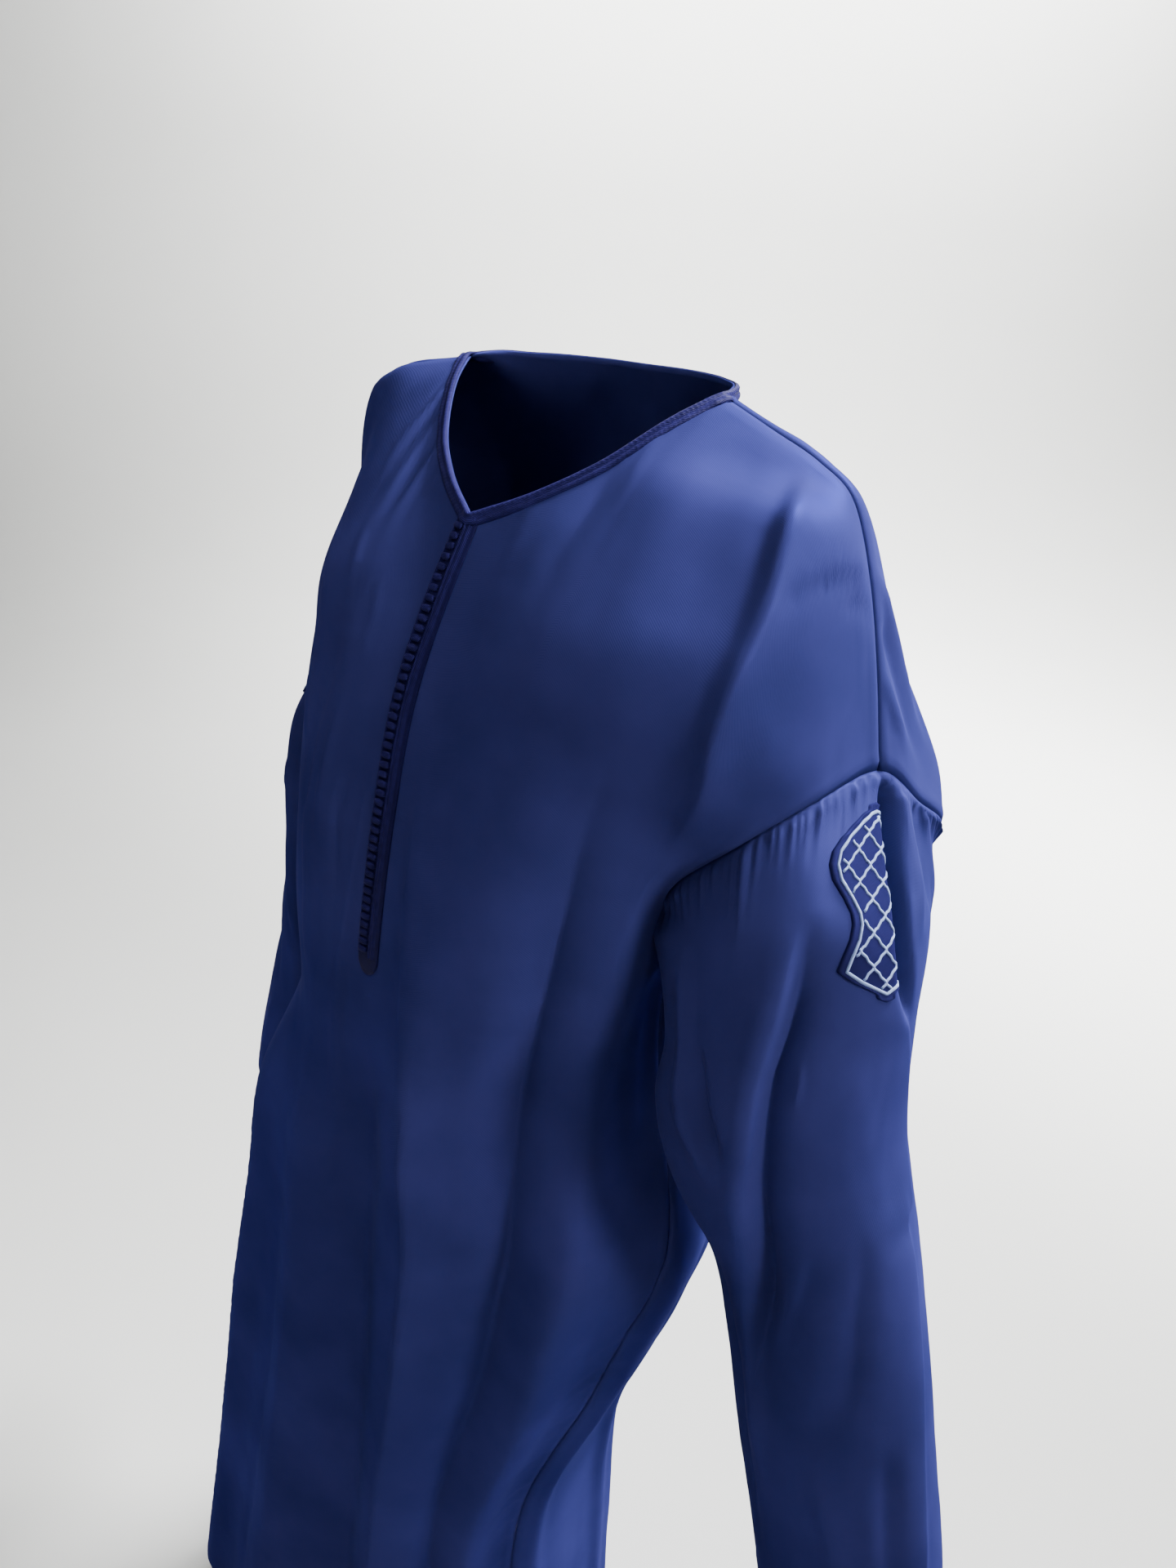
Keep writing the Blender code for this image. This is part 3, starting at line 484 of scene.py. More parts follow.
def crease_lift(grid: Array, normals: Array, places: Array, downs: Array,
                creases: Sequence[Crease]) -> Array:
    """Metres that listed creases lift each point of a sheet.

    Args:
        grid: the sheet's points, rows by columns.
        normals: their outward normals.
        places: each column's place across or round the sheet.
        downs: each row's centimetres down the sheet.
        creases: the creases.

    Returns:
        The lift, rows by columns.
    """
    flat, up = grid.reshape(-1, 3), normals.reshape(-1, 3)
    lift = np.zeros(len(flat))
    for crease in creases:
        route = np.array(crease.route, float)
        steps = ROUTE_STEPS * (len(route) - 1) + 1
        fine = smooth_curve(np.linspace(0, 1, len(route)), route, np.linspace(0, 1, steps))
        line = bilinear(grid, np.interp(fine[:, 1], downs, np.arange(len(downs))),
                        np.interp(fine[:, 0], places, np.arange(len(places))))
        reach = CREASE_REACH * max(crease.right, crease.left) * MM
        inside = np.all((flat > line.min(axis=0) - reach) & (flat < line.max(axis=0) + reach),
                        axis=1)
        near = np.where(inside)[0]
        start, step = line[:-1], np.diff(line, axis=0)
        away = flat[near][:, None] - start[None]
        share = np.clip(np.sum(away * step, axis=2) / np.sum(step * step, axis=1), 0, 1)
        gap = away - share[:, :, None] * step[None]
        best = np.argmin(np.linalg.norm(gap, axis=2), axis=1)
        pick = (np.arange(len(near)), best)
        chord = line[-1] - line[0]
        along = np.clip((flat[near] - line[0]) @ chord / (chord @ chord), 0, 1)
        side = np.sum(np.cross(step[best], gap[pick]) * up[near], axis=1)
        width = np.where(side > 0, crease.right, crease.left) * MM
        fade = ease(along / crease.starts) * ease((1 - along) / crease.ends)
        tail = math.exp(-CREASE_REACH ** crease.sharpness)
        shape = np.exp(-(np.linalg.norm(gap[pick], axis=1) / width) ** crease.sharpness)
        lift[near] += crease.height * MM * fade * np.maximum(shape - tail, 0) / (1 - tail)
    return lift.reshape(grid.shape[:2])


def ripple(grid: Array, sizes: tuple[float, float, float], seed: float) -> Array:
    """Smooth random heights from -1 to 1 over a grid's points, long down the cloth.

    Args:
        grid: points in metres, rows by columns.
        sizes: the ripples' sizes along x, y and z, in metres.
        seed: where in the noise they are read.

    Returns:
        One height a point, rows by columns.
    """
    spots = grid.reshape(-1, 3) / np.array(sizes) + seed
    heights = [noise.noise(Vector(spot)) for spot in spots]
    return np.array(heights).reshape(grid.shape[:2])


def grid_shape(points: Array, uvs: Array) -> Shape:
    """A smooth grid of faces, whose vertices are moved to their points.

    Args:
        points: its points in metres, rows by columns.
        uvs: each point's place on the piece's own map, in metres.

    Returns:
        The shape, open at its edges.
    """
    rows, columns = points.shape[:2]
    shape = bmesh.new()
    uv_layer = shape.loops.layers.uv.new("cloth")
    bmesh.ops.create_grid(shape, x_segments=columns - 1, y_segments=rows - 1, size=0.5)
    for vertex, point in zip(shape.verts, points.reshape(-1, 3)):
        vertex.co = point
    shape.verts.index_update()
    flat_uvs = uvs.reshape(-1, 2)
    for face in shape.faces:
        face.smooth = True
        for loop in face.loops:
            loop[uv_layer].uv = flat_uvs[loop.vert.index]
    return shape


def sheet_mesh(name: str, points: Array, uvs: Array, outward_way: Array,
               joined: bool = False) -> Piece:
    """A sheet of cloth.

    Args:
        name: the piece's name.
        points: its points in metres, rows by columns.
        uvs: each point's place on the flat cloth, in metres.
        outward_way: an outward direction at each point.
        joined: whether the last column meets the first.

    Returns:
        The new object.
    """
    cloth = grid_shape(points, uvs)
    cloth.normal_update()
    cloth.faces.ensure_lookup_table()
    middle = cloth.faces[len(cloth.faces) // 2 + points.shape[1] // 2]
    way = outward_way.reshape(-1, 3)[middle.verts[0].index]
    if middle.normal.dot(Vector(way)) < 0:
        bmesh.ops.reverse_faces(cloth, faces=cloth.faces)
    if joined:
        bmesh.ops.remove_doubles(cloth, verts=cloth.verts, dist=SHEET_MERGE)
    return finished(name, cloth)


def finished(name: str, shape: Shape) -> Piece:
    """Turn a shape into an object at the origin, and free it.

    Args:
        name: the object's name.
        shape: the shape.

    Returns:
        The new object.
    """
    mesh = bpy.data.meshes.new(name)
    shape.to_mesh(mesh)
    shape.free()
    piece = bpy.data.objects.new(name, mesh)
    bpy.context.scene.collection.objects.link(piece)
    return piece


def arc_lengths(grid: Array) -> tuple[Array, Array]:
    """Measure a sheet along its rows and columns.

    Args:
        grid: its points, rows by columns.

    Returns:
        Metres along each row from its middle column, and down each column.
    """
    along = travelled(grid, axis=1)
    along -= along[:, grid.shape[1] // 2][:, None]
    return along, travelled(grid)


def dress(piece: Piece, finish: Material, nodes: Sequence[str] = ()) -> None:
    """Give a piece its finish, body and solids, and report it.

    Args:
        piece: the piece.
        finish: its material.
        nodes: the solids that it stands for, if any.
    """
    piece.data.materials.clear()
    piece.data.materials.append(finish)
    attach(piece, BODY)
    if nodes:
        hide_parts(*nodes)
    LOG.info("%s: %d faces", piece.name, len(piece.data.polygons))


def thicken(piece: Piece, thickness: float) -> None:
    """Give a sheet its thickness, inward from its outer face.

    Args:
        piece: the sheet.
        thickness: metres.
    """
    wall = piece.modifiers.new("thickness", "SOLIDIFY")
    wall.thickness = thickness
    wall.offset = -1.0
    wall.use_even_offset = False


class NodePad:
    """Places, sets and links the nodes of one material."""

    def __init__(self, name: str) -> None:
        """Start a material with its shader.

        Args:
            name: the material's name.
        """
        self.material = bpy.data.materials.new(name)
        self.material.use_nodes = True
        self.tree = self.material.node_tree
        self.shader = self.tree.nodes["Principled BSDF"]

    def settle(self, node: bpy.types.Node, sockets: dict[str, object]) -> None:
        """Set constant values on a node's own sockets.

        Args:
            node: the node.
            sockets: a value for each socket's name.
        """
        for name, value in sockets.items():
            node.inputs[name].default_value = value

    def add(self, kind: str, sockets: Optional[dict[str, object]] = None,
            **values: object) -> bpy.types.Node:
        """Add a node.

        Args:
            kind: its type.
            sockets: constant values for its sockets, by name.
            **values: its properties.

        Returns:
            The node.
        """
        node = self.tree.nodes.new(kind)
        for name, value in values.items():
            setattr(node, name, value)
        self.settle(node, sockets or {})
        return node

    def link(self, source: Socket, target: Socket) -> None:
        """Join two sockets."""
        self.tree.links.new(source, target)

    def noise(self, place: Socket, scale: float, detail: float) -> Socket:
        """Soft random clouds.

        Args:
            place: where they are read.
            scale: how many there are in a metre.
            detail: how many finer sizes are mixed in.

        Returns:
            Their height.
        """
        clouds = self.add("ShaderNodeTexNoise", {"Scale": scale, "Detail": detail})
        self.link(place, clouds.inputs["Vector"])
        return clouds.outputs["Fac"]

    def bands(self, place: Socket, turn: float, pitch: float, distortion: float,
              detail: float) -> Socket:
        """Even ridges, as of a twill or a twisted cord.

        Args:
            place: where they are read.
            turn: how far they are turned, in radians.
            pitch: metres from one to the next.
            distortion: how wavy they are.
            detail: how many finer waves are mixed in.

        Returns:
            Their height.
        """
        turned = self.add("ShaderNodeMapping", {"Rotation": (0.0, 0.0, turn)})
        self.link(place, turned.inputs["Vector"])
        scale = math.pi / 10 / pitch
        wave = self.add("ShaderNodeTexWave",
                        {"Scale": scale, "Distortion": distortion, "Detail": detail},
                        wave_type="BANDS", wave_profile="SIN")
        self.link(turned.outputs["Vector"], wave.inputs["Vector"])
        return wave.outputs["Fac"]

    def bump(self, height: Socket, strength: float, distance: float,
             below: Optional[Socket] = None) -> Socket:
        """Raise the surface by a height.

        Args:
            height: the height.
            strength: how much of it is taken.
            distance: how far its highest part stands out, in metres.
            below: the normal of a coarser relief under it.

        Returns:
            The raised surface's normal.
        """
        raised = self.add("ShaderNodeBump", {"Strength": strength, "Distance": distance})
        self.link(height, raised.inputs["Height"])
        if below is not None:
            self.link(below, raised.inputs["Normal"])
        return raised.outputs["Normal"]

    def ramp(self, factor: Socket, low: tuple, high: tuple, start: float = 0.3,
             stop: float = 0.7) -> Socket:
        """A colour between two.

        Args:
            factor: what it follows.
            low: the first colour.
            high: the last colour.
            start: the factor up to which the first colour holds.
            stop: the factor from which the last colour holds.

        Returns:
            The colour.
        """
        ramp = self.add("ShaderNodeValToRGB")
        ends = ramp.color_ramp.elements
        ends[0].position, ends[1].position = start, stop
        ends[0].color, ends[1].color = (*low, 1.0), (*high, 1.0)
        self.link(factor, ramp.inputs["Fac"])
        return ramp.outputs["Color"]


@dataclass(frozen=True)
class SatinFinish:
    """Blue satin with a fine twill, soft sheen and slight colour changes."""

    name: str = "blue_satin_twill"
    deep: tuple = (0.021, 0.024, 0.104)
    pale: tuple = (0.033, 0.036, 0.152)
    cloud_scale: float = 9.0
    cloud_detail: float = 4.0
    roughness: float = 0.44
    thread_shine: float = 0.13
    shine_tint: tuple = (0.16, 0.18, 0.55, 1.0)
    sheen: float = 0.012
    sheen_roughness: float = 0.32
    sheen_tint: tuple = (0.24, 0.32, 0.95, 1.0)
    twill_pitch: float = 1.35 * MM
    twill_angle: float = math.radians(58)
    twill_wander: float = 0.6
    twill_strength: float = 0.32
    twill_depth: float = 0.10 * MM
    slub_scale: float = 420.0
    slub_strength: float = 0.25
    slub_depth: float = 0.12 * MM

    def build(self) -> Material:
        """Make the finish.

        Returns:
            The material.
        """
        pad = NodePad(self.name)
        # No clear gloss: it would bleach the folds' flanks at a grazing angle.
        pad.settle(pad.shader, {
            "Roughness": self.roughness, "Metallic": self.thread_shine,
            "Specular IOR Level": 0.0, "Specular Tint": self.shine_tint,
            "Sheen Weight": self.sheen, "Sheen Roughness": self.sheen_roughness,
            "Sheen Tint": self.sheen_tint})
        place = pad.add("ShaderNodeTexCoord").outputs["Object"]
        clouds = pad.noise(place, self.cloud_scale, self.cloud_detail)
        pad.link(pad.ramp(clouds, self.deep, self.pale), pad.shader.inputs["Base Color"])
        weave = pad.add("ShaderNodeUVMap", uv_map="cloth").outputs["UV"]
        slubs = pad.noise(weave, self.slub_scale, detail=2.0)
        twill = pad.bands(weave, self.twill_angle, self.twill_pitch, self.twill_wander,
                          detail=1.0)
        coarse = pad.bump(slubs, self.slub_strength, self.slub_depth)
        fine = pad.bump(twill, self.twill_strength, self.twill_depth, coarse)
        pad.link(fine, pad.shader.inputs["Normal"])
        return pad.material


@dataclass(frozen=True)
class CordFinish:
    """Silky cord or thread, with its twist or stitches along the piece's own map, painted shade in
    their grooves and painted highlight on their crests.
    """

    name: str
    deep: tuple
    pale: tuple
    deep_until: float = 0.05
    pale_from: float = 0.6
    roughness: float = 0.5
    sheen: float = 0.005
    shine: float = 0.03
    pitch: float = 0.9 * MM
    slant: float = math.radians(40)
    wander: float = 1.2
    strength: float = 0.6
    depth: float = 0.25 * MM
    fuzz_scale: float = 160.0

    def build(self) -> Material:
        """Make the finish.

        Returns:
            The material.
        """
        pad = NodePad(self.name)
        pad.settle(pad.shader, {"Roughness": self.roughness, "Specular IOR Level": self.shine,
                                "Sheen Weight": self.sheen})
        weave = pad.add("ShaderNodeUVMap", uv_map="cloth").outputs["UV"]
        twist = pad.bands(weave, self.slant, self.pitch, self.wander, detail=2.0)
        fuzz = pad.noise(weave, self.fuzz_scale, detail=3.0)
        # The colour follows the twist: deeper in its grooves and paler on its crests, which is
        # painted shade and painted highlight over its relief, broken up by random fuzz.
        blend = pad.add("ShaderNodeMath", operation="MULTIPLY")
        pad.link(twist, blend.inputs[0])
        pad.link(fuzz, blend.inputs[1])
        colour = pad.ramp(blend.outputs[0], self.deep, self.pale, self.deep_until,
                          self.pale_from)
        pad.link(colour, pad.shader.inputs["Base Color"])
        pad.link(pad.bump(twist, self.strength, self.depth), pad.shader.inputs["Normal"])
        return pad.material


@dataclass(frozen=True)
class PaperFinish:
    """The pale, matt studio floor."""

    name: str = "studio_paper"
    colour: tuple = (0.60, 0.603, 0.592)
    shade: float = 0.985
    grain_scale: float = 3.0
    roughness: float = 0.9
    shine: float = 0.1

    def build(self) -> Material:
        """Make the finish.

        Returns:
            The material.
        """
        pad = NodePad(self.name)
        pad.settle(pad.shader, {"Roughness": self.roughness, "Specular IOR Level": self.shine})
        place = pad.add("ShaderNodeTexCoord").outputs["Object"]
        grain = pad.noise(place, self.grain_scale, detail=2.0)
        darker = tuple(self.shade * value for value in self.colour)
        pad.link(pad.ramp(grain, darker, self.colour), pad.shader.inputs["Base Color"])
        return pad.material


FRONT_CREASES = (
    # The crisp crest from the shoulder down to the armhole, the cloth lit beyond it.
    Crease(((0.552, 0.8), (0.582, 3.0), (0.604, 4.8), (0.602, 8.0), (0.602, 10.8), (0.622, 14.0),
            (0.655, 18.0)), -5.0, 6.0, 16.0, 0.15, 0.25, 1.4),
    Crease(((0.585, 0.8), (0.612, 2.8), (0.636, 4.8), (0.632, 8.0), (0.634, 10.8), (0.654, 14.0),
            (0.69, 18.0)), 28.0, 30.0, 46.0, 0.2, 0.3, 1.15),
    # The collarbone's swell, below which the chest hangs plumb.
    Crease(((0.04, 3.4), (0.16, 3.2), (0.28, 3.0), (0.42, 3.4), (0.56, 4.6)), 4.0, 28.0, 70.0,
           0.35, 0.35, 1.8),
    # Pressed creases over the dropped shoulder.
    Crease(((0.655, 4.6), (0.69, 3.4), (0.73, 2.6), (0.80, 0.5)), -2.4, 3.2, 4.4, 0.15, 0.2, 1.4),
    Crease(((0.665, 4.2), (0.70, 3.0), (0.74, 2.2), (0.80, 0.2)), 1.8, 5.0, 3.4, 0.15, 0.3),
    Crease(((0.77, 2.6), (0.80, 1.7), (0.84, 0.5)), -1.8, 3.0, 3.4, 0.2, 0.2, 1.4),
    Crease(((0.74, 1.2), (0.82, 1.5), (0.90, 1.5), (0.97, 1.4)), 0.7, 1.3, 1.6, 0.2, 0.2),
    # The broad dark plane from the chest down the left side, with a crisp valley.
    Crease(((0.465, 9.0), (0.465, 16.0), (0.475, 22.0), (0.468, 28.0), (0.482, 34.0),
            (0.470, 42.0), (0.405, 48.5), (0.368, 56.0), (0.385, 64.0), (0.39, 84.0),
            (0.41, 110.0), (0.43, 134.0)), -30.0, 42.0, 34.0, 0.2, 0.1, 1.1),
    Crease(((0.62, 20.0), (0.64, 28.0), (0.665, 36.0), (0.66, 43.0), (0.565, 50.0),
            (0.51, 57.0), (0.53, 66.0), (0.54, 90.0), (0.56, 130.0)), 26.0, 30.0, 38.0,
           0.3, 0.1, 1.7),
    # The fold beside and below the placket: a soft valley, then a crisp crest.
    Crease(((0.0, 36.0), (-0.01, 44.0), (-0.015, 52.0), (-0.01, 62.0), (0.0, 76.0),
            (0.01, 100.0), (0.01, 134.0)), -18.0, 26.0, 34.0, 0.12, 0.1, 1.7),
    Crease(((0.065, 15.0), (0.085, 19.5), (0.100, 25.0), (0.112, 31.0), (0.122, 38.0),
            (0.130, 44.0)), 5.0, 26.0, 10.0, 0.25, 0.3, 1.2),
    Crease(((0.140, 36.0), (0.160, 45.0), (0.170, 52.0), (0.175, 60.0), (0.190, 75.0),
            (0.205, 100.0), (0.21, 134.0)), 21.0, 40.0, 40.0, 0.12, 0.1, 1.1),
    # Light ridges on the right of the placket's line.
    Crease(((-0.16, 24.0), (-0.22, 34.0), (-0.25, 48.0), (-0.22, 60.0), (-0.20, 74.0),
            (-0.20, 100.0), (-0.22, 130.0)), 3.0, 12.0, 14.0, 0.2, 0.15),
    Crease(((-0.030, 13.0), (-0.045, 18.0), (-0.058, 23.0), (-0.078, 28.0), (-0.110, 34.0),
            (-0.135, 42.0), (-0.108, 50.0), (-0.105, 60.0)), 2.4, 4.0, 6.0, 0.2, 0.3, 1.4),
    Crease(((-0.052, 28.0), (-0.095, 35.5), (-0.104, 44.0), (-0.086, 52.0)), 1.6, 2.4, 3.6,
           0.3, 0.4, 1.5),
    Crease(((-0.15, 13.0), (-0.18, 18.0), (-0.21, 24.0)), 1.6, 3.5, 3.0),
    Crease(((-0.285, 5.2), (-0.258, 5.9), (-0.24, 7.2)), 1.4, 3.2, 3.2, 0.3, 0.3, 1.4),
    Crease(((-0.41, 6.2), (-0.34, 7.7), (-0.31, 10.7)), 1.6, 3.4, 3.6, 0.3, 0.3, 1.4),
    Crease(((-0.345, 13.5), (-0.345, 16.7), (-0.31, 19.5)), 1.5, 3.4, 4.0, 0.3, 0.3, 1.4),
    Crease(((-0.155, 6.0), (-0.135, 8.5), (-0.13, 12.0)), 1.2, 3.4, 3.4, 0.3, 0.3, 1.4),
    Crease(((-0.20, 9.5), (-0.22, 14.0), (-0.26, 19.0), (-0.30, 25.0)), -2.0, 4.5, 5.0),
    Crease(((-0.10, 18.0), (-0.13, 22.0), (-0.12, 27.0)), -1.6, 4.0, 4.0),
    Crease(((-0.27, 22.0), (-0.25, 28.0), (-0.28, 36.0)), 2.6, 6.0, 6.0),
    Crease(((-0.30, 50.0), (-0.34, 66.0), (-0.34, 90.0), (-0.36, 124.0)), -4.0, 16.0, 16.0,
           0.25, 0.1),
    # Short pulls that start at the neck braid on the right shoulder.
    Crease(((-0.255, 0.4), (-0.29, 2.2), (-0.33, 4.2)), 2.2, 3.4, 3.0, 0.1, 0.6),
    Crease(((-0.235, 0.4), (-0.265, 2.2), (-0.30, 4.2)), -2.4, 3.2, 3.2, 0.1, 0.6),
    Crease(((-0.215, 0.4), (-0.24, 2.3), (-0.27, 4.6)), 2.2, 3.4, 3.2, 0.1, 0.6),
    Crease(((-0.195, 0.4), (-0.215, 2.4), (-0.24, 4.8)), -2.6, 4.0, 4.0, 0.1, 0.6),
    Crease(((-0.172, 0.4), (-0.19, 2.4), (-0.215, 5.0)), 2.0, 3.6, 3.2, 0.1, 0.6),
    Crease(((-0.14, 0.4), (-0.16, 2.6), (-0.18, 5.0)), -1.4, 4.6, 4.6, 0.1, 0.6),
    # The same on the left, much softer.
    Crease(((0.24, 0.4), (0.26, 1.8), (0.285, 3.4)), 1.0, 3.6, 3.6, 0.1, 0.6),
    Crease(((0.20, 0.4), (0.215, 2.0), (0.235, 4.0)), -0.8, 4.0, 4.0, 0.1, 0.6),
    Crease(((0.10, 0.6), (0.12, 3.0), (0.13, 6.0)), 0.8, 5.0, 5.0, 0.1, 0.6),
    # Chest and waist drag lines.
    Crease(((0.36, 10.0), (0.42, 20.0), (0.44, 30.0)), -2.5, 18.0, 22.0),
    Crease(((0.20, 22.0), (0.25, 34.0), (0.24, 50.0), (0.23, 74.0)), -2.4, 18.0, 20.0),
    Crease(((0.86, 30.0), (0.88, 38.0), (0.88, 46.0)), 4.0, 16.0, 16.0),
    Crease(((0.73, 44.0), (0.68, 54.0), (0.66, 66.0), (0.66, 90.0), (0.68, 124.0)),
           -3.5, 14.0, 14.0, 0.3, 0.1),
)

BACK_CREASES = (
    # Folds that run down from the shoulder seam behind the left arm.
    Crease(((0.78, 0.4), (0.83, 2.5), (0.87, 6.0), (0.90, 10.0)), 3.2, 5.5, 5.0, 0.15, 0.5),
    Crease(((0.84, 0.4), (0.885, 2.6), (0.92, 5.5), (0.94, 8.6)), -2.6, 4.5, 4.5, 0.15, 0.5),
    Crease(((0.90, 0.4), (0.93, 2.2), (0.955, 4.6)), 2.4, 4.0, 4.0, 0.15, 0.5),
    Crease(((-0.80, 0.4), (-0.85, 2.8), (-0.88, 6.5), (-0.90, 10.0)), 3.0, 5.5, 5.0, 0.15, 0.5),
    Crease(((-0.87, 0.4), (-0.90, 2.6), (-0.93, 5.5)), -2.4, 4.5, 4.5, 0.15, 0.5),
    # Across the shoulder blades, then down the back.
    Crease(((-0.52, 6.0), (-0.56, 12.0), (-0.60, 19.0), (-0.62, 27.0)), 5.0, 15.0, 9.0),
    Crease(((0.54, 6.0), (0.58, 12.0), (0.62, 19.0), (0.64, 27.0)), 5.0, 9.0, 15.0),
    Crease(((-0.66, 9.0), (-0.70, 16.0), (-0.74, 24.0)), -6.0, 9.0, 9.0),
    Crease(((0.67, 9.0), (0.72, 16.0), (0.76, 24.0)), -6.0, 9.0, 9.0),
    Crease(((0.18, 16.0), (0.20, 34.0), (0.17, 60.0), (0.18, 100.0), (0.20, 134.0)),
           -7.0, 12.0, 16.0, 0.3, 0.1),
    Crease(((0.28, 22.0), (0.27, 44.0), (0.25, 70.0), (0.26, 134.0)), 4.0, 9.0, 16.0, 0.3, 0.1),
    Crease(((-0.12, 20.0), (-0.13, 40.0), (-0.12, 70.0), (-0.14, 134.0)), 5.0, 14.0, 8.0,
           0.3, 0.1),
    Crease(((-0.22, 26.0), (-0.21, 50.0), (-0.22, 80.0), (-0.24, 134.0)), -7.0, 10.0, 12.0,
           0.3, 0.1),
    Crease(((-0.44, 30.0), (-0.46, 52.0), (-0.45, 80.0), (-0.48, 134.0)), 6.0, 12.0, 12.0,
           0.3, 0.1),
    Crease(((0.46, 30.0), (0.47, 54.0), (0.48, 84.0), (0.50, 134.0)), -7.0, 11.0, 12.0,
           0.3, 0.1),
    Crease(((0.74, 34.0), (0.73, 56.0), (0.74, 90.0), (0.76, 130.0)), 5.0, 12.0, 10.0, 0.3, 0.1),
    Crease(((-0.70, 36.0), (-0.72, 60.0), (-0.72, 90.0), (-0.73, 130.0)), -6.0, 10.0, 10.0,
           0.3, 0.1),
    Crease(((0.0, 2.0), (0.02, 6.0), (0.03, 12.0)), -1.6, 9.0, 9.0, 0.2, 0.5),
    Crease(((-0.10, 1.0), (-0.16, 5.0), (-0.24, 10.0)), 1.6, 8.0, 8.0, 0.2, 0.5),
    Crease(((0.10, 1.0), (0.17, 5.0), (0.26, 10.0)), 1.6, 8.0, 8.0, 0.2, 0.5),
    # Soft drag lines at the waist.
    Crease(((-0.60, 38.0), (-0.40, 41.0), (-0.16, 40.0)), -2.2, 8.0, 10.0, 0.4, 0.4),
    Crease(((0.62, 41.0), (0.42, 44.5), (0.20, 44.0)), -2.2, 10.0, 8.0, 0.4, 0.4),
)

# Folds of a sleeve: place round it from the shoulder line to the front, then
# centimetres down it.
SLEEVE_CREASES = (
    # The long dark fold down the front of the arm, and the edge beside it.
    Crease(((0.105, 3.6), (0.128, 7.5), (0.150, 12.0), (0.172, 18.0), (0.198, 22.5),
            (0.222, 26.0), (0.262, 30.5), (0.30, 36.0), (0.33, 44.0)), -23.0, 30.0, 8.0,
           0.2, 0.3, 1.2),
    Crease(((0.128, 3.4), (0.152, 7.5), (0.174, 12.0), (0.197, 18.0), (0.225, 23.0),
            (0.26, 28.0)), 5.0, 5.0, 15.0, 0.2, 0.3, 1.7),
    # The inner fold that laps over it near the elbow.
    Crease(((0.285, 7.5), (0.270, 10.0), (0.252, 13.5), (0.240, 16.2), (0.238, 19.0)),
           -8.0, 5.0, 9.0, 0.3, 0.25, 1.6),
    Crease(((0.315, 2.5), (0.315, 6.0), (0.305, 10.0), (0.285, 14.0), (0.265, 18.0),
            (0.262, 22.0)), 5.5, 6.0, 10.0, 0.2, 0.35, 1.7),
    # Short lines beside and across the folds.
    Crease(((0.16, 13.4), (0.19, 13.8), (0.22, 13.6)), -1.2, 1.6, 2.4, 0.3, 0.4, 1.6),
    Crease(((0.17, 16.6), (0.20, 16.9), (0.235, 16.6)), -1.2, 1.6, 2.4, 0.3, 0.4, 1.6),
    Crease(((0.285, 13.2), (0.305, 13.4), (0.33, 13.0)), -1.0, 1.6, 2.2, 0.3, 0.4, 1.6),
    Crease(((0.115, 12.0), (0.122, 14.0), (0.135, 16.0)), 1.8, 2.6, 4.0),
    # The curved soft folds of the forearm.
    Crease(((0.082, 25.0), (0.092, 28.0), (0.118, 31.5), (0.132, 34.5), (0.150, 38.0),
            (0.19, 41.5), (0.235, 45.0)), -4.0, 7.0, 14.0, 0.45, 0.4, 1.7),
    Crease(((0.105, 26.0), (0.120, 29.0), (0.145, 32.5), (0.162, 36.0), (0.19, 39.0)),
           1.8, 7.0, 11.0, 0.45, 0.45),
    Crease(((0.145, 25.5), (0.165, 28.0), (0.197, 31.0), (0.238, 34.5), (0.27, 38.0)),
           -2.6, 8.0, 5.5, 0.45, 0.45, 1.7),
    Crease(((0.165, 26.0), (0.190, 28.6), (0.225, 32.0), (0.26, 35.5)), 1.4, 5.0, 9.0, 0.45, 0.45),
    Crease(((0.30, 30.0), (0.315, 36.0), (0.32, 43.0), (0.31, 50.0)), 4.0, 8.0, 7.0),
    Crease(((0.36, 26.0), (0.37, 34.0), (0.37, 46.0), (0.36, 58.0)), -5.0, 9.0, 8.0),
    Crease(((0.22, 44.0), (0.20, 50.0), (0.19, 58.0)), 3.0, 8.0, 8.0),
    Crease(((0.10, 42.0), (0.11, 50.0), (0.12, 59.0)), -3.0, 8.0, 8.0),
    # The back of the arm.
    Crease(((0.86, 1.0), (0.85, 5.0), (0.835, 12.0), (0.83, 20.0)), 5.0, 8.0, 7.0),
    Crease(((0.80, 2.0), (0.78, 8.0), (0.77, 16.0), (0.78, 24.0)), -6.0, 9.0, 8.0),
    Crease(((0.72, 3.0), (0.70, 10.0), (0.69, 20.0)), 5.0, 9.0, 9.0),
    Crease(((0.64, 4.0), (0.62, 12.0), (0.61, 22.0)), -5.0, 9.0, 8.0),
    Crease(((0.90, 24.0), (0.86, 30.0), (0.80, 36.0), (0.74, 41.0)), -5.0, 9.0, 8.0),
    Crease(((0.86, 32.0), (0.80, 38.0), (0.73, 44.0)), 3.4, 8.0, 8.0),
    Crease(((0.66, 28.0), (0.65, 38.0), (0.66, 50.0)), -4.0, 9.0, 9.0),
    Crease(((0.78, 46.0), (0.80, 52.0), (0.80, 59.0)), 3.0, 8.0, 8.0),
    Crease(((0.47, 8.0), (0.48, 18.0), (0.47, 30.0)), 4.0, 9.0, 9.0),
    Crease(((0.54, 16.0), (0.53, 28.0), (0.54, 44.0)), -4.0, 8.0, 8.0),
)
# The front of the left sleeve's head stands out towards the chest.
HEAD_SWELL = (
    Crease(((0.37, 0.2), (0.375, 3.0), (0.385, 7.0), (0.40, 11.0), (0.40, 16.0)),
           8.5, 22.0, 24.0, 0.15, 0.5),
)
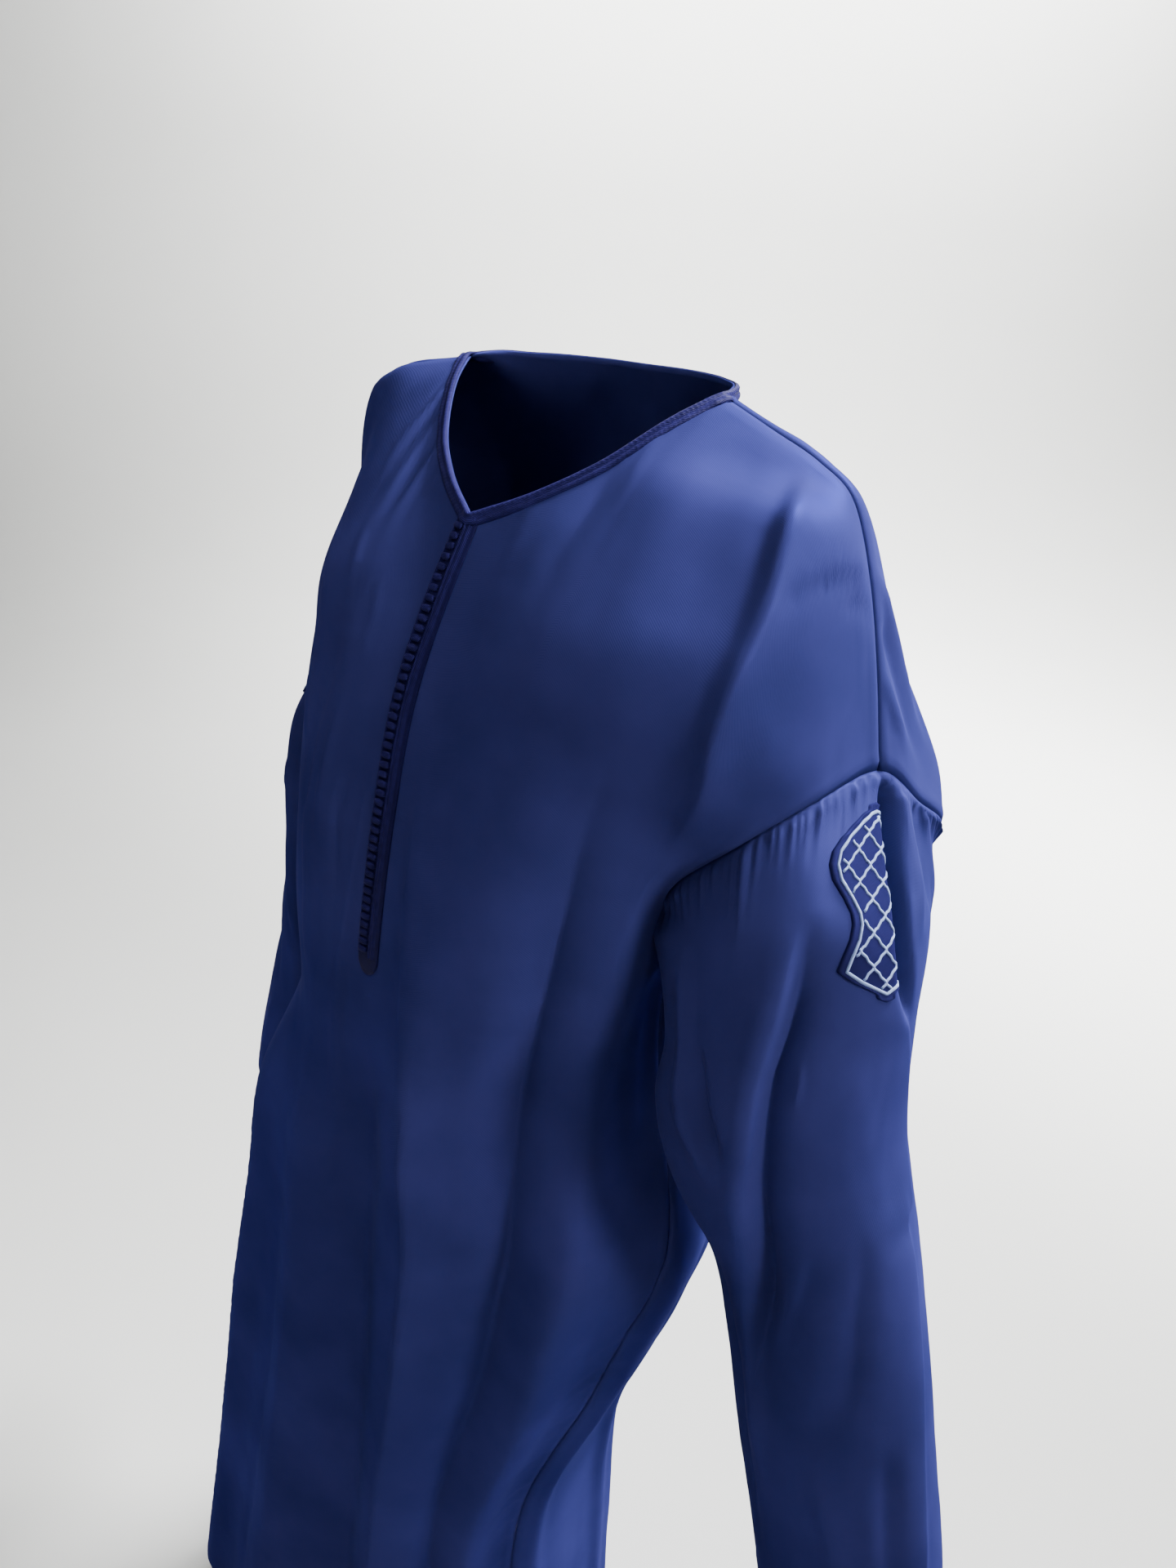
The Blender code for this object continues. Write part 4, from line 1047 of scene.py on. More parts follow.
# The sharp fold beside the patch, which only the raised left arm has in full.
PATCH_FOLD = (
    Crease(((0.990, 0.0), (0.985, 3.0), (0.981, 6.0), (0.979, 9.5), (0.978, 13.0)), -24.0,
           7.0, 6.0, 0.10, 0.3, 2.8),
    Crease(((0.957, 0.3), (0.949, 2.6), (0.944, 5.0), (0.944, 8.0)), 4.0, 5.0, 5.0, 0.1, 0.4),
    Crease(((0.915, 0.3), (0.905, 3.0), (0.90, 7.0)), -3.5, 5.0, 5.0, 0.1, 0.4),
    Crease(((0.880, 0.3), (0.875, 3.0), (0.87, 7.0)), 3.0, 5.0, 5.0, 0.1, 0.4),
)
EDGE_RIDGE = (
    Crease(((0.996, 8.0), (0.985, 12.0), (0.980, 18.0), (0.984, 24.0), (0.992, 28.0)),
           5.0, 4.0, 22.0, 0.2, 0.1, 1.6),
)
EDGE_RIDGE_LOW = (
    Crease(((0.004, 24.0), (0.012, 30.0), (0.022, 36.0), (0.034, 43.0), (0.044, 50.0),
            (0.05, 58.0)), 5.0, 4.0, 22.0, 0.2, 0.2, 1.6),
)

# How far the side seams lie forward of the solids' own: drop, share of a half panel.
SEAM_FORWARD = ((45.0, 0.0), (52.0, 0.07), (58.0, 0.17), (70.0, 0.205), (137.0, 0.22))


@dataclass(frozen=True)
class Ripples:
    """Two sizes of small random ripples, long down the cloth."""

    height: float
    wide: tuple
    fine: tuple
    fine_share: float
    seeds: tuple

    def lift(self, grid: Array) -> Array:
        """Metres that they lift each point of a grid."""
        wide = ripple(grid, self.wide, self.seeds[0]) * self.height
        return wide + ripple(grid, self.fine, self.seeds[1]) * self.height * self.fine_share


@dataclass(frozen=True)
class NapeEasing:
    """Where the back is rounded off below its neckline.

    Distances down are in centimetres, those across in shares of a half panel.
    """

    passes: int = 70
    down_grow: float = 2.5
    down_end: float = 15.0
    down_fade: float = 7.0
    across_start: float = 0.02
    across_grow: float = 0.10
    across_end: float = 0.52
    across_fade: float = 0.14

    def share(self, drops: Array, places: Array) -> Array:
        """How much of each pass a point takes.

        Args:
            drops: centimetres down the cloth, one a row.
            places: signed places across the panel, one a column.

        Returns:
            Shares from 0 to 1, rows by columns.
        """
        down = ease(drops / self.down_grow) * ease((self.down_end - drops) / self.down_fade)
        away = np.abs(places)
        across = ease((away - self.across_start) / self.across_grow)
        across *= ease((self.across_end - away) / self.across_fade)
        return down[:, None] * across[None]


@dataclass(frozen=True)
class Puckers:
    """Small slanting puckers that the side seams' stitching draws in the skirt."""

    height: float = 0.8 * MM
    pitch: float = 17.0 * MM
    second_pitch: float = 29.0 * MM
    second_share: float = 0.6
    second_phase: float = 2.0
    slant: float = 0.8
    wander: float = 1.6
    wander_length: float = 2.3
    bunch_length: float = 3.1
    bunch_least: float = 0.45
    starts: float = 46.0
    grows: float = 8.0
    reach: float = 22.0 * MM
    stitch: float = 4.0 * MM

    def lift(self, drops: Array, to_seam: Array) -> Array:
        """Metres that they lift the cloth beside one seam.

        Args:
            drops: centimetres down the cloth, one a row.
            to_seam: metres from the seam, rows by columns.

        Returns:
            The lift, rows by columns.
        """
        slant = drops * CM - to_seam * self.slant
        wander = self.wander * np.sin(drops / self.wander_length)
        wave = np.sin(slant * 2 * math.pi / self.pitch + wander)
        second = slant * 2 * math.pi / self.second_pitch + self.second_phase
        wave += self.second_share * np.sin(second)
        bunch = 0.5 + 0.5 * np.sin(drops / self.bunch_length)
        grow = ease((drops - self.starts) / self.grows)
        grow = grow * (self.bunch_least + (1 - self.bunch_least) * bunch)
        reach = bell(to_seam, self.reach) * (1 - bell(to_seam, self.stitch))
        return self.height * wave * reach * grow


@dataclass
class Panel:
    """The front or the back, one cut piece out over both dropped shoulders."""

    cut: Cut
    flat: tuple = (0.90, 1.48)
    columns: int = 190
    yoke_rows: int = 84
    skirt_rows: int = 168
    thickness: float = 1.1 * MM
    # The turned seam edges: a dip at the seam and a swell beside it.
    seam_dip: float = 1.3 * MM
    seam_reach: float = 2.4 * MM
    seam_swell: float = 0.5 * MM
    swell_from: float = 6.0 * MM
    swell_reach: float = 3.2 * MM
    hem_depth: float = 22.0 * MM
    # Creases fade towards the shoulder line and, below the armhole, the side seams.
    calm_top: float = 1.2
    calm_closes: float = 8.0
    calm_from: float = 0.88
    calm_over: float = 0.12
    # The side seams' shift forward fades towards the middle of the panel.
    shift_from: float = 0.3
    shift_over: float = 0.7
    ripples: Ripples = Ripples(0.9 * MM, (0.035, 0.035, 0.11), (0.012, 0.012, 0.04), 0.25,
                               (3.0, 11.0))
    nape: NapeEasing = NapeEasing()
    puckers: Puckers = Puckers()
    places: Array = field(init=False, default=None)
    drops: Array = field(init=False, default=None)
    along: Array = field(init=False, default=None)
    fall: Array = field(init=False, default=None)
    points: Array = field(init=False, default=None)
    normals: Array = field(init=False, default=None)

    def __post_init__(self) -> None:
        """Work out where every point of the cloth lies."""
        half = self.columns // 2
        self.places = np.linspace(-half, half, self.columns + 1) / half
        yoke = np.linspace(0, ARMHOLE_DROP, self.yoke_rows + 1)
        skirt = np.linspace(ARMHOLE_DROP, HEM_DROP, self.skirt_rows + 1)
        self.drops = np.concatenate([yoke, skirt[1:]])
        base = self.moved_seams(self.worked(self.cut))
        self.along, self.fall = arc_lengths(base)
        self.points = base + outward(base, self.cut) * self.edges()[:, :, None]
        self.normals = outward(self.points, self.cut)

    def worked(self, cut: Cut) -> Array:
        """A panel's surface with its creases, before its seams are set.

        Args:
            cut: which panel.

        Returns:
            Its points, rows by columns.
        """
        base, normals = panel_surface(self.places, self.drops, cut)
        if cut is Cut.BACK:
            base = self.rounded_nape(base)
            normals = outward(base, cut)
        creases = FRONT_CREASES if cut is Cut.FRONT else BACK_CREASES
        lift = crease_lift(base, normals, self.places, self.drops, creases)
        lift += self.ripples.lift(base)
        closed = ease((self.drops - ARMHOLE_DROP + self.calm_closes / 2) / self.calm_closes)
        beside = ease((np.abs(self.places) - self.calm_from) / self.calm_over)
        lift *= (1 - closed[:, None] * beside[None]) * ease(self.drops / self.calm_top)[:, None]
        return base + normals * lift[:, :, None]

    def rounded_nape(self, base: Array) -> Array:
        """Round off the kink that runs down from each end of the back neckline.

        Args:
            base: the back's points, rows by columns.

        Returns:
            The points, averaged with their neighbours below the neckline's ends.
        """
        share = self.nape.share(self.drops, self.places)[1:-1, 1:-1, None]
        points = base.copy()
        for _ in range(self.nape.passes):
            mean = (points[:-2, 1:-1] + points[2:, 1:-1]
                    + points[1:-1, :-2] + points[1:-1, 2:]) / 4
            points[1:-1, 1:-1] += (mean - points[1:-1, 1:-1]) * share
        return points

    def moved_seams(self, own: Array) -> Array:
        """Move the side seams forward, so the back's cloth shows beside the front's.

        Args:
            own: this panel's points, rows by columns.

        Returns:
            The points, drawn in or let out along the whole body's rows.
        """
        other = self.worked(other_cut(self.cut))
        shift = np.interp(self.drops, *np.transpose(SEAM_FORWARD))
        # The other panel runs on past both seams, so rows reach three half panels.
        wrapped = np.concatenate([other[:, :0:-1], own, other[:, -2::-1]], axis=1)
        wrapped_at = np.linspace(-3, 3, wrapped.shape[1])
        beside = ease((np.abs(self.places) - self.shift_from) / self.shift_over)
        sign = -1 if self.cut is Cut.FRONT else 1
        result = np.empty_like(own)
        for row, move in enumerate(shift):
            at = self.places * (1 + sign * move * beside)
            result[row] = read_columns(at, wrapped_at, wrapped[row])
        return result

    def edges(self) -> Array:
        """Lift of the seam edges, the hem and the puckers.

        Returns:
            Metres that each point rises or sinks, rows by columns.
        """
        to_right, to_left = self.along - self.along[:, :1], self.along[:, -1:] - self.along
        to_top = np.where(np.abs(self.places) > NECK_SHARE, self.fall, FAR)
        lift = np.zeros_like(self.fall)
        for gap in (np.minimum(to_left, to_right), to_top):
            lift -= self.seam_dip * bell(gap, self.seam_reach)
            lift += self.seam_swell * bell(gap - self.swell_from, self.swell_reach)
        to_hem = self.fall[-1:] - self.fall
        lift += self.seam_swell * ease((self.hem_depth - to_hem) / HEM_STEP)
        for gap in (to_left, to_right):
            lift += self.puckers.lift(self.drops[:, None], gap)
        return lift

    def build(self, finish: Material) -> None:
        """Make the panel's piece of cloth.

        Args:
            finish: its material.
        """
        uvs = np.stack([self.along, self.fall], axis=2)
        piece = sheet_mesh(f"cloth_{self.cut.value}", self.points, uvs, self.normals)
        thicken(piece, self.thickness)
        dress(piece, finish, [self.cut.value])
        one_layer_area(piece, self.points)

    def armhole(self, arm: Arm) -> Array:
        """The armhole edge from the shoulder to the underarm."""
        return self.points[:self.yoke_rows + 1, -1 if arm is Arm.LEFT else 0]


def one_layer_area(piece: Piece, points: Array) -> float:
    """Measure one layer of a sheet and report it.

    Args:
        piece: the sheet, for its name.
        points: its points, rows by columns.

    Returns:
        Square metres, to two places.
    """
    crossed = np.cross(points[1:, 1:] - points[:-1, :-1], points[1:, :-1] - points[:-1, 1:])
    area = float(np.linalg.norm(crossed, axis=2).sum() / 2)
    LOG.info("%s: measured %.3f square metres", piece.name, area)
    return round(area, 2)


def lapped(ring: Array, near: int) -> Array:
    """A closed grid with some of its columns repeated past either end."""
    return np.concatenate([ring[:, -1 - near:-1], ring, ring[:, 1:near + 1]], axis=1)


@dataclass(frozen=True)
class Gathers:
    """Uneven gathers that fan out below the armhole.

    Places and widths are shares of the way round, reaches centimetres down.  A
    pair of values is the least and the most that a gather can have.
    """

    count: int = 66
    height: float = 4.4 * MM
    uneven: float = 0.35
    widths: tuple = (0.0026, 0.0046)
    height_shares: tuple = (0.35, 1.15)
    reaches: tuple = (0.5, 1.1)
    reach_factors: tuple = (1.0, 1.0, 1.5, 2.6)
    drift: float = 0.0016
    fan: float = 0.30
    starts: float = 0.45
    fading: float = 1.6
    underarm: float = 0.5
    underarm_bare: float = 0.07

    def lift(self, seed: int, around: Array, lengths: Array) -> Array:
        """Metres that they lift the sleeve.

        Args:
            seed: which uneven row of gathers is drawn.
            around: places round the sleeve, one a column.
            lengths: centimetres down it, one a row.

        Returns:
            The lift, rows by columns.
        """
        draw = np.random.default_rng(seed)
        around, lengths = around[None], lengths[:, None]
        lift = np.zeros((len(lengths), around.shape[1]))
        for k in range(self.count):
            place = (k + draw.uniform(-self.uneven, self.uneven)) / self.count
            width = draw.uniform(*self.widths)
            height = self.height * draw.uniform(*self.height_shares)
            reach = draw.uniform(*self.reaches) * draw.choice(self.reach_factors)
            drift = draw.uniform(-self.drift, self.drift)
            if abs(place - self.underarm) < self.underarm_bare:
                continue
            away = np.abs(around - place - drift * lengths)
            away = np.minimum(away, 1 - away)
            grow = ease(lengths / self.starts) * np.exp(-(lengths / reach) ** self.fading)
            lift += height * grow * bell(away, width * (1 + self.fan * lengths))
        return lift


@dataclass
class Sleeve:
    """A long sleeve, gathered into the armhole and open at its cuff."""

    arm: Arm
    front: Panel
    back: Panel
    creases: tuple
    seed: int
    flat: tuple = (0.56, 0.66)
    columns: int = 316
    head_rows: int = 52
    arm_rows: int = 98
    head_length: float = 8.0
    thickness: float = 1.1 * MM
    gathers: Gathers = Gathers()
    ripples: Ripples = Ripples(0.8 * MM, (0.03, 0.03, 0.09), (0.011, 0.011, 0.03), 0.3,
                               (21.0, 31.0))
    # How soon creases and ripples begin below the armhole, in centimetres.
    creases_begin: float = 1.2
    ripples_begin: float = 1.6
    cuff_swell: float = 0.5 * MM
    cuff_depth: float = 20.0 * MM
    # How many columns past the shoulder line creases may run, from either side.
    lap: int = 79
    around: Array = field(init=False, default=None)
    lengths: Array = field(init=False, default=None)
    points: Array = field(init=False, default=None)
    normals: Array = field(init=False, default=None)

    def __post_init__(self) -> None:
        """Work out where every point of the cloth lies."""
        self.around = np.linspace(0, 1, self.columns + 1)
        head = np.linspace(0, self.head_length, self.head_rows + 1)
        arm = np.linspace(self.head_length, CUFF_LENGTH, self.arm_rows + 1)
        self.lengths = np.concatenate([head, arm[1:]])
        ring = self.armhole_ring()
        stations = [0.0] + [row[0] for row in SLEEVE_SECTIONS]
        sections = [ring] + [sleeve_section(row, self.around, self.arm)
                             for row in SLEEVE_SECTIONS]
        first = (sections[1] - ring) / stations[1]
        base = smooth_curve(stations, np.array(sections), self.lengths, first)
        normals = self.outward(base)
        lift = self.creased(base, normals)
        lift += self.gathers.lift(self.seed, self.around, self.lengths)
        lift += self.ripples.lift(base) * ease(self.lengths / self.ripples_begin)[:, None]
        to_cuff = (CUFF_LENGTH - self.lengths)[:, None] * CM
        lift += self.cuff_swell * ease((self.cuff_depth - to_cuff) / HEM_STEP)
        self.points = base + normals * lift[:, :, None]
        self.points[:, -1] = self.points[:, 0]
        self.normals = self.outward(self.points)

    def outward(self, grid: Array) -> Array:
        """Unit normals of a sleeve's grid, turned outward.

        Args:
            grid: points, rows by columns, whose last column is the first again.

        Returns:
            One normal a point.
        """
        wide = lapped(grid, 1)
        normal = unit(np.cross(np.gradient(grid, axis=0), wide[:, 2:] - wide[:, :-2]))
        return -normal if self.arm is Arm.LEFT else normal

    def armhole_ring(self) -> Array:
        """The panels' armhole edges, down the front and up the back.

        Returns:
            One point for each place round the sleeve.
        """
        rings = []
        for panel, share in ((self.front, self.around * 2), (self.back, 2 - self.around * 2)):
            edge = panel.armhole(self.arm)
            row = np.clip(share, 0, 1) * panel.yoke_rows
            rings.append(read_columns(row, np.arange(len(edge)), edge))
        return np.where((self.around <= 0.5)[:, None], *rings)

    def creased(self, base: Array, normals: Array) -> Array:
        """Metres of the listed creases, also across the shoulder line.

        Args:
            base: the sleeve's points, rows by columns.
            normals: their outward normals.

        Returns:
            The lift, rows by columns.
        """
        near = self.lap
        wide = lapped(base, near)
        places = np.linspace(-near, self.columns + near, wide.shape[1]) / self.columns
        lift = crease_lift(wide, lapped(normals, near), places, self.lengths, self.creases)
        own = lift[:, near:near + self.columns + 1].copy()
        own[:, -1] = own[:, 0]
        return own * ease(self.lengths / self.creases_begin)[:, None]

    def build(self, finish: Material) -> None:
        """Make the sleeve's piece of cloth.

        Args:
            finish: its material.
        """
        uvs = np.stack(arc_lengths(self.points), axis=2)
        piece = sheet_mesh(f"cloth_sleeve_{self.arm.value}", self.points, uvs, self.normals,
                           joined=True)
        thicken(piece, self.thickness)
        dress(piece, finish, [f"sleeve_{self.arm.value}"])
        one_layer_area(piece, self.points)

    def on_cloth(self, around: Array, lengths: Array) -> tuple[Array, Array]:
        """The finished cloth at places round and down the sleeve.

        Args:
            around: places round it.
            lengths: centimetres down it, of the same shape.

        Returns:
            Points, and their outward ways.
        """
        column = np.mod(around, 1.0) * self.columns
        row = np.interp(lengths, self.lengths, np.arange(len(self.lengths)))
        return bilinear(self.points, row, column), unit(bilinear(self.normals, row, column))


def strip_mesh(name: str, sections: Array, steps: Array, ring: bool = False) -> Piece:
    """A long piece from its cross sections, each a closed loop of points.

    Args:
        name: the piece's name.
        sections: stations by corners by 3, in metres.
        steps: metres along the piece at each station.
        ring: whether the last station meets the first.

    Returns:
        The new object, with a map along and round it.
    """
    if ring:
        sections = np.concatenate([sections, sections[:1]])
        steps = np.concatenate([steps, [2 * steps[-1] - steps[-2]]])
    sections = np.concatenate([sections, sections[:, :1]], axis=1)
    girth = travelled(sections, axis=1)
    shape = grid_shape(sections, np.stack([girth, np.broadcast_to(steps[:, None], girth.shape)],
                                          axis=2))
    bmesh.ops.remove_doubles(shape, verts=shape.verts, dist=STRIP_MERGE)
    if not ring:
        bmesh.ops.holes_fill(shape, edges=[e for e in shape.edges if e.is_boundary], sides=0)
    bmesh.ops.recalc_face_normals(shape, faces=shape.faces)
    return finished(name, shape)


def joined_pieces(name: str, pieces: Sequence[Piece]) -> Piece:
    """Make one object of several, whose own objects go.

    Args:
        name: the new object's name.
        pieces: the objects.

    Returns:
        The new object.
    """
    whole = bmesh.new()
    for piece in pieces:
        whole.from_mesh(piece.data)
        bpy.data.objects.remove(piece, do_unlink=True)
    return finished(name, whole)


@dataclass
class NeckBraid:
    """The dark two-ridged braid round the neck hole.

    Its profile is a table of shares of the width and of the height, from the
    cloth's edge outward.
    """

    front: Panel
    back: Panel
    width: float = 9.2 * MM
    height: float = 2.3 * MM
    inset: float = -0.3 * MM
    seat: float = 0.2 * MM
    tuck: float = 0.5 * MM
    stations: int = 900
    plait_pitch: float = 3.2 * MM
    plait_depth: float = 0.16 * MM
    plait_slant: float = 9.0
    plait_from: float = 0.3
    groove_half: float = 0.02
    # Every how many points of the profile the underside has one.
    under_step: int = 4
    seam_bulk: float = 0.9 * MM
    seam_reach: float = 12.0 * MM
    profile: tuple = ((0.0, 0.0), (0.03, 0.45), (0.14, 0.86), (0.26, 1.0), (0.38, 0.84),
                      (0.49, 0.52), (0.60, 0.80), (0.72, 0.94), (0.86, 0.80), (0.97, 0.42),
                      (1.0, 0.0))

    def edge(self) -> tuple[Array, Array]:
        """The neckline as one closed loop.

        Returns:
            Its points and their outward normals, the first repeated at the end.
        """
        points, ways = [], []
        for panel in (self.front, self.back):
            on_neck = np.abs(panel.places) <= NECK_SHARE + ROUNDING
            line, way = panel.points[0, on_neck], panel.normals[0, on_neck]
            if panel is self.back:
                line, way = line[::-1][1:-1], way[::-1][1:-1]
            points.append(line)
            ways.append(way)
        return (np.concatenate(points + [points[0][:1]]),
                np.concatenate(ways + [ways[0][:1]]))

    def heights(self, at: Array) -> Array:
        """The braid's plaited surface over its seat.

        Args:
            at: metres round the neckline, one a station.

        Returns:
            Metres above the cloth, stations by places across.
        """
        shares, rises = np.transpose(self.profile)
        flank = np.sign(shares - 0.5) * (np.abs(shares - 0.5) > self.groove_half)
        phase = at[:, None] / self.plait_pitch * 2 * math.pi
        plait = np.cos(phase + shares[None] * self.plait_slant * flank[None])
        return rises[None] * (self.height + self.plait_depth * plait * (rises > self.plait_from))

    def build(self, finish: Material) -> None:
        """Make the braid.

        Args:
            finish: its material.
        """
        line, way = self.edge()
        reach = travelled(line)
        at = np.linspace(0, reach[-1], self.stations, endpoint=False)
        spot, lift = read_columns(at, reach, line), read_columns(at, reach, way)
        ahead = unit(np.roll(spot, -1, axis=0) - np.roll(spot, 1, axis=0))
        lift = unit(lift - ahead * np.sum(lift * ahead, axis=1, keepdims=True))
        away = np.cross(ahead, lift)
        spans = self.inset + self.width * np.transpose(self.profile)[0]
        sits = self.seat + self.bulk(spot)
        top = (spot[:, None] + away[:, None] * spans[None, :, None]
               + lift[:, None] * (self.heights(at) + sits[:, None])[:, :, None])
        low = (spot[:, None] + away[:, None] * spans[None, ::-self.under_step, None]
               + lift[:, None] * (sits[:, None, None] - self.tuck))
        piece = strip_mesh("neck_braid_worked", np.concatenate([top, low[:, 1:-1]], axis=1), at,
                           ring=True)
        dress(piece, finish, ["neck_braid"])

    def bulk(self, spot: Array) -> Array:
        """How much higher the braid rides over the shoulder seams."""
        from_seam = np.abs(spot[:, 0]) - SHOULDER_SEAM[0][1] * CM
        return self.seam_bulk * bell(from_seam, self.seam_reach)


@dataclass
class Placket:
    """The closed front: knots and loops on a tape beside a plain ridged band.

    Each profile is a table of places across and rises: shares of the half width
    for the tape, of the width for the band, and of the half width for the cord.
    """

    front: Panel
    length: float = 0.307
    start: float = 8.0 * MM
    knots: int = 46
    half_width: float = 9.8 * MM
    # The tape's rounded end, a hair blunt so that its last station keeps some width.
    tip: float = 14.0 * MM
    tip_from: float = 0.06
    tip_stations: int = 16
    tip_blunt: float = 1.001
    overrun: float = 2.0 * MM
    seat: float = 0.2 * MM
    tape_stations: int = 150
    tape_rise: float = 0.9 * MM
    tape_above: float = 4.0 * MM
    tape_tuck: float = 0.4 * MM
    tape_profile: tuple = ((-1.0, 0.0), (-0.98, 0.7), (-0.9, 1.0), (-0.6, 1.0), (-0.3, 1.0),
                           (0.0, 1.0), (0.3, 1.0), (0.6, 1.0), (0.9, 1.0), (0.98, 0.7),
                           (1.0, 0.0))
    knot_half: tuple = (4.1 * MM, 2.35 * MM, 1.7 * MM)
    knot_centre: float = -4.6 * MM
    knot_above: float = 0.7 * MM
    knot_squareness: float = 0.72
    knot_groove: float = 0.12
    knot_waves: float = 3.0
    knot_turn: float = 0.10
    knot_seed: int = 3
    # The cord and the band begin above the first knot.  The cord's top and underside
    # lie at shares of the tape's rise.
    above: float = 3.0 * MM
    cord_stations: int = 260
    cord_overrun: float = 1.0 * MM
    cord_half: float = 0.9 * MM
    cord_inset: float = 0.7 * MM
    cord_top: float = 0.9
    cord_low: float = 0.5
    cord_profile: tuple = ((-1.0, 0.0), (-0.7, 0.7), (0.0, 1.0), (0.7, 0.7), (1.0, 0.0))
    band_stations: int = 300
    band_inset: float = 0.3 * MM
    band_seat: float = 0.3 * MM
    band_low: float = 0.1 * MM
    band_width: float = 7.6 * MM
    band_height: float = 2.1 * MM
    band_profile: tuple = ((0.0, 0.0), (0.02, 0.7), (0.10, 1.0), (0.20, 0.7), (0.30, 0.45),
                           (0.42, 0.72), (0.52, 0.88), (0.64, 0.6), (0.74, 0.42), (0.90, 0.36),
                           (1.0, 0.0))
    # Which points of a profile also have a point of the underside below them.
    under: tuple = (8, 5, 2)
    cord_under: tuple = (3, 1)

    def leftward(self, at: Array) -> Array:
        """Ways towards the wearer's left on the front's centre line.

        Args:
            at: metres down the line.

        Returns:
            One unit vector for each.
        """
        panel = self.front
        middle = len(panel.places) // 2
        side = unit(panel.points[:, middle + 1] - panel.points[:, middle - 1])
        return unit(read_columns(at, panel.fall[:, middle], side))

    def on_cloth(self, at: Array, spans: Array) -> tuple[Array, Array]:
        """The cloth beside the front's centre line.

        Args:
            at: metres down the line, one a row.
            spans: metres to its left, rows by columns.

        Returns:
            Points, and their outward ways, rows by columns.
        """
        panel = self.front
        middle = len(panel.places) // 2
        rows = np.interp(at, panel.fall[:, middle], np.arange(len(panel.drops)))
        pitch = np.linalg.norm(panel.points[:, middle + 1] - panel.points[:, middle], axis=1)
        columns = middle + spans / np.interp(rows, np.arange(len(pitch)), pitch)[:, None]
        rows = np.broadcast_to(rows[:, None], columns.shape)
        return bilinear(panel.points, rows, columns), unit(bilinear(panel.normals, rows, columns))

    def tape(self) -> Piece:
        """The flat tape under it all, rounded at its lower end.

        Returns:
            The new object.
        """
        last = self.length + self.overrun
        rounded = np.sin(np.linspace(self.tip_from, 1.0, self.tip_stations) * math.pi / 2)
        at = np.concatenate([np.linspace(self.start - self.tape_above, last,
                                         self.tape_stations), last + self.tip * rounded])
        from_tip = np.clip((at - last) / (self.tip * self.tip_blunt), 0, 1)
        half = self.half_width * np.sqrt(1 - from_tip ** 2)
        shares, rises = np.transpose(self.tape_profile)
        spot, way = self.on_cloth(at, shares[None] * half[:, None])
        top = spot + way * (self.seat + rises[None, :, None] * self.tape_rise)
        low = spot[:, self.under] - way[:, self.under] * self.tape_tuck
        return strip_mesh("placket_tape", np.concatenate([top, low], axis=1), at)

    def knot(self) -> bpy.types.Mesh:
        """One small knot, a rounded bar with two grooves.

        Returns:
            Its mesh, centred on the origin.
        """
        length, width, height = self.knot_half
        bar = bmesh.new()
        bmesh.ops.create_uvsphere(bar, u_segments=14, v_segments=9, radius=1.0)
        for vertex in bar.verts:
            x, y, z = (math.copysign(abs(value) ** self.knot_squareness, value)
                       for value in vertex.co)
            groove = self.knot_groove * math.cos(y * math.pi * self.knot_waves) * (z > 0)
            vertex.co = (x * length, y * width, z * height * (1 - groove))
        for face in bar.faces:
            face.smooth = True
        mesh = bpy.data.meshes.new("knot")
        bar.to_mesh(mesh)
        bar.free()
        return mesh

    def knot_row(self) -> Piece:
        """All the knots, down the right half of the tape.

        Returns:
            The new object.
        """
        pitch = (self.length - self.start) / self.knots
        at = self.start + pitch * (np.arange(self.knots) + 0.5)
        spots, ways = self.on_cloth(at, np.full((self.knots, 1), self.knot_centre))
        draw = np.random.default_rng(self.knot_seed)
        row = bmesh.new()
        uv_layer = row.loops.layers.uv.new("cloth")
        knot = self.knot()
        for spot, way, side in zip(spots[:, 0], ways[:, 0], self.leftward(at)):
            out, across = Vector(way), Vector(side)
            across = (across - out * across.dot(out)).normalized()
            turn = Matrix((across, out.cross(across), out)).transposed().to_4x4()
            wobble = draw.uniform(-self.knot_turn, self.knot_turn)
            turn = turn @ Matrix.Rotation(wobble, 4, "Z")
            middle = Vector(spot + way * (self.tape_rise + self.knot_above))
            first = len(row.verts)
            row.from_mesh(knot)
            row.verts.ensure_lookup_table()
            bmesh.ops.transform(row, matrix=Matrix.Translation(middle) @ turn,
                                verts=row.verts[first:])
        for face in row.faces:
            for loop in face.loops:
                loop[uv_layer].uv = (loop.vert.co.x, loop.vert.co.z)
        bpy.data.meshes.remove(knot)
        return finished("placket_knots", row)

    def edging(self) -> Piece:
        """The thin cord on the outer side of the knots.

        Returns:
            The new object.
        """
        at = np.linspace(self.start - self.above, self.length + self.cord_overrun,
                         self.cord_stations)
        shares, rises = np.transpose(self.cord_profile) * self.cord_half
        spans = -self.half_width + self.cord_inset + shares
        spot, way = self.on_cloth(at, np.broadcast_to(spans, (len(at), len(spans))))
        top = spot + way * (self.tape_rise * self.cord_top + rises)[None, :, None]
        low = spot[:, self.cord_under] + way[:, self.cord_under] * self.tape_rise * self.cord_low
        return strip_mesh("placket_edging", np.concatenate([top, low], axis=1), at)

    def band(self) -> Piece:
        """The plain band with its two ridges.

        Returns:
            The new object.
        """
        at = np.linspace(self.start - self.above, self.length + self.overrun,
                         self.band_stations)
        shares, rises = np.transpose(self.band_profile)
        spans = self.band_inset + self.band_width * shares
        spot, way = self.on_cloth(at, np.broadcast_to(spans, (len(at), len(spans))))
        top = spot + way * (self.band_seat + rises * self.band_height)[None, :, None]
        low = spot[:, self.under] + way[:, self.under] * self.band_low
        return strip_mesh("placket_band_ridges", np.concatenate([top, low], axis=1), at)

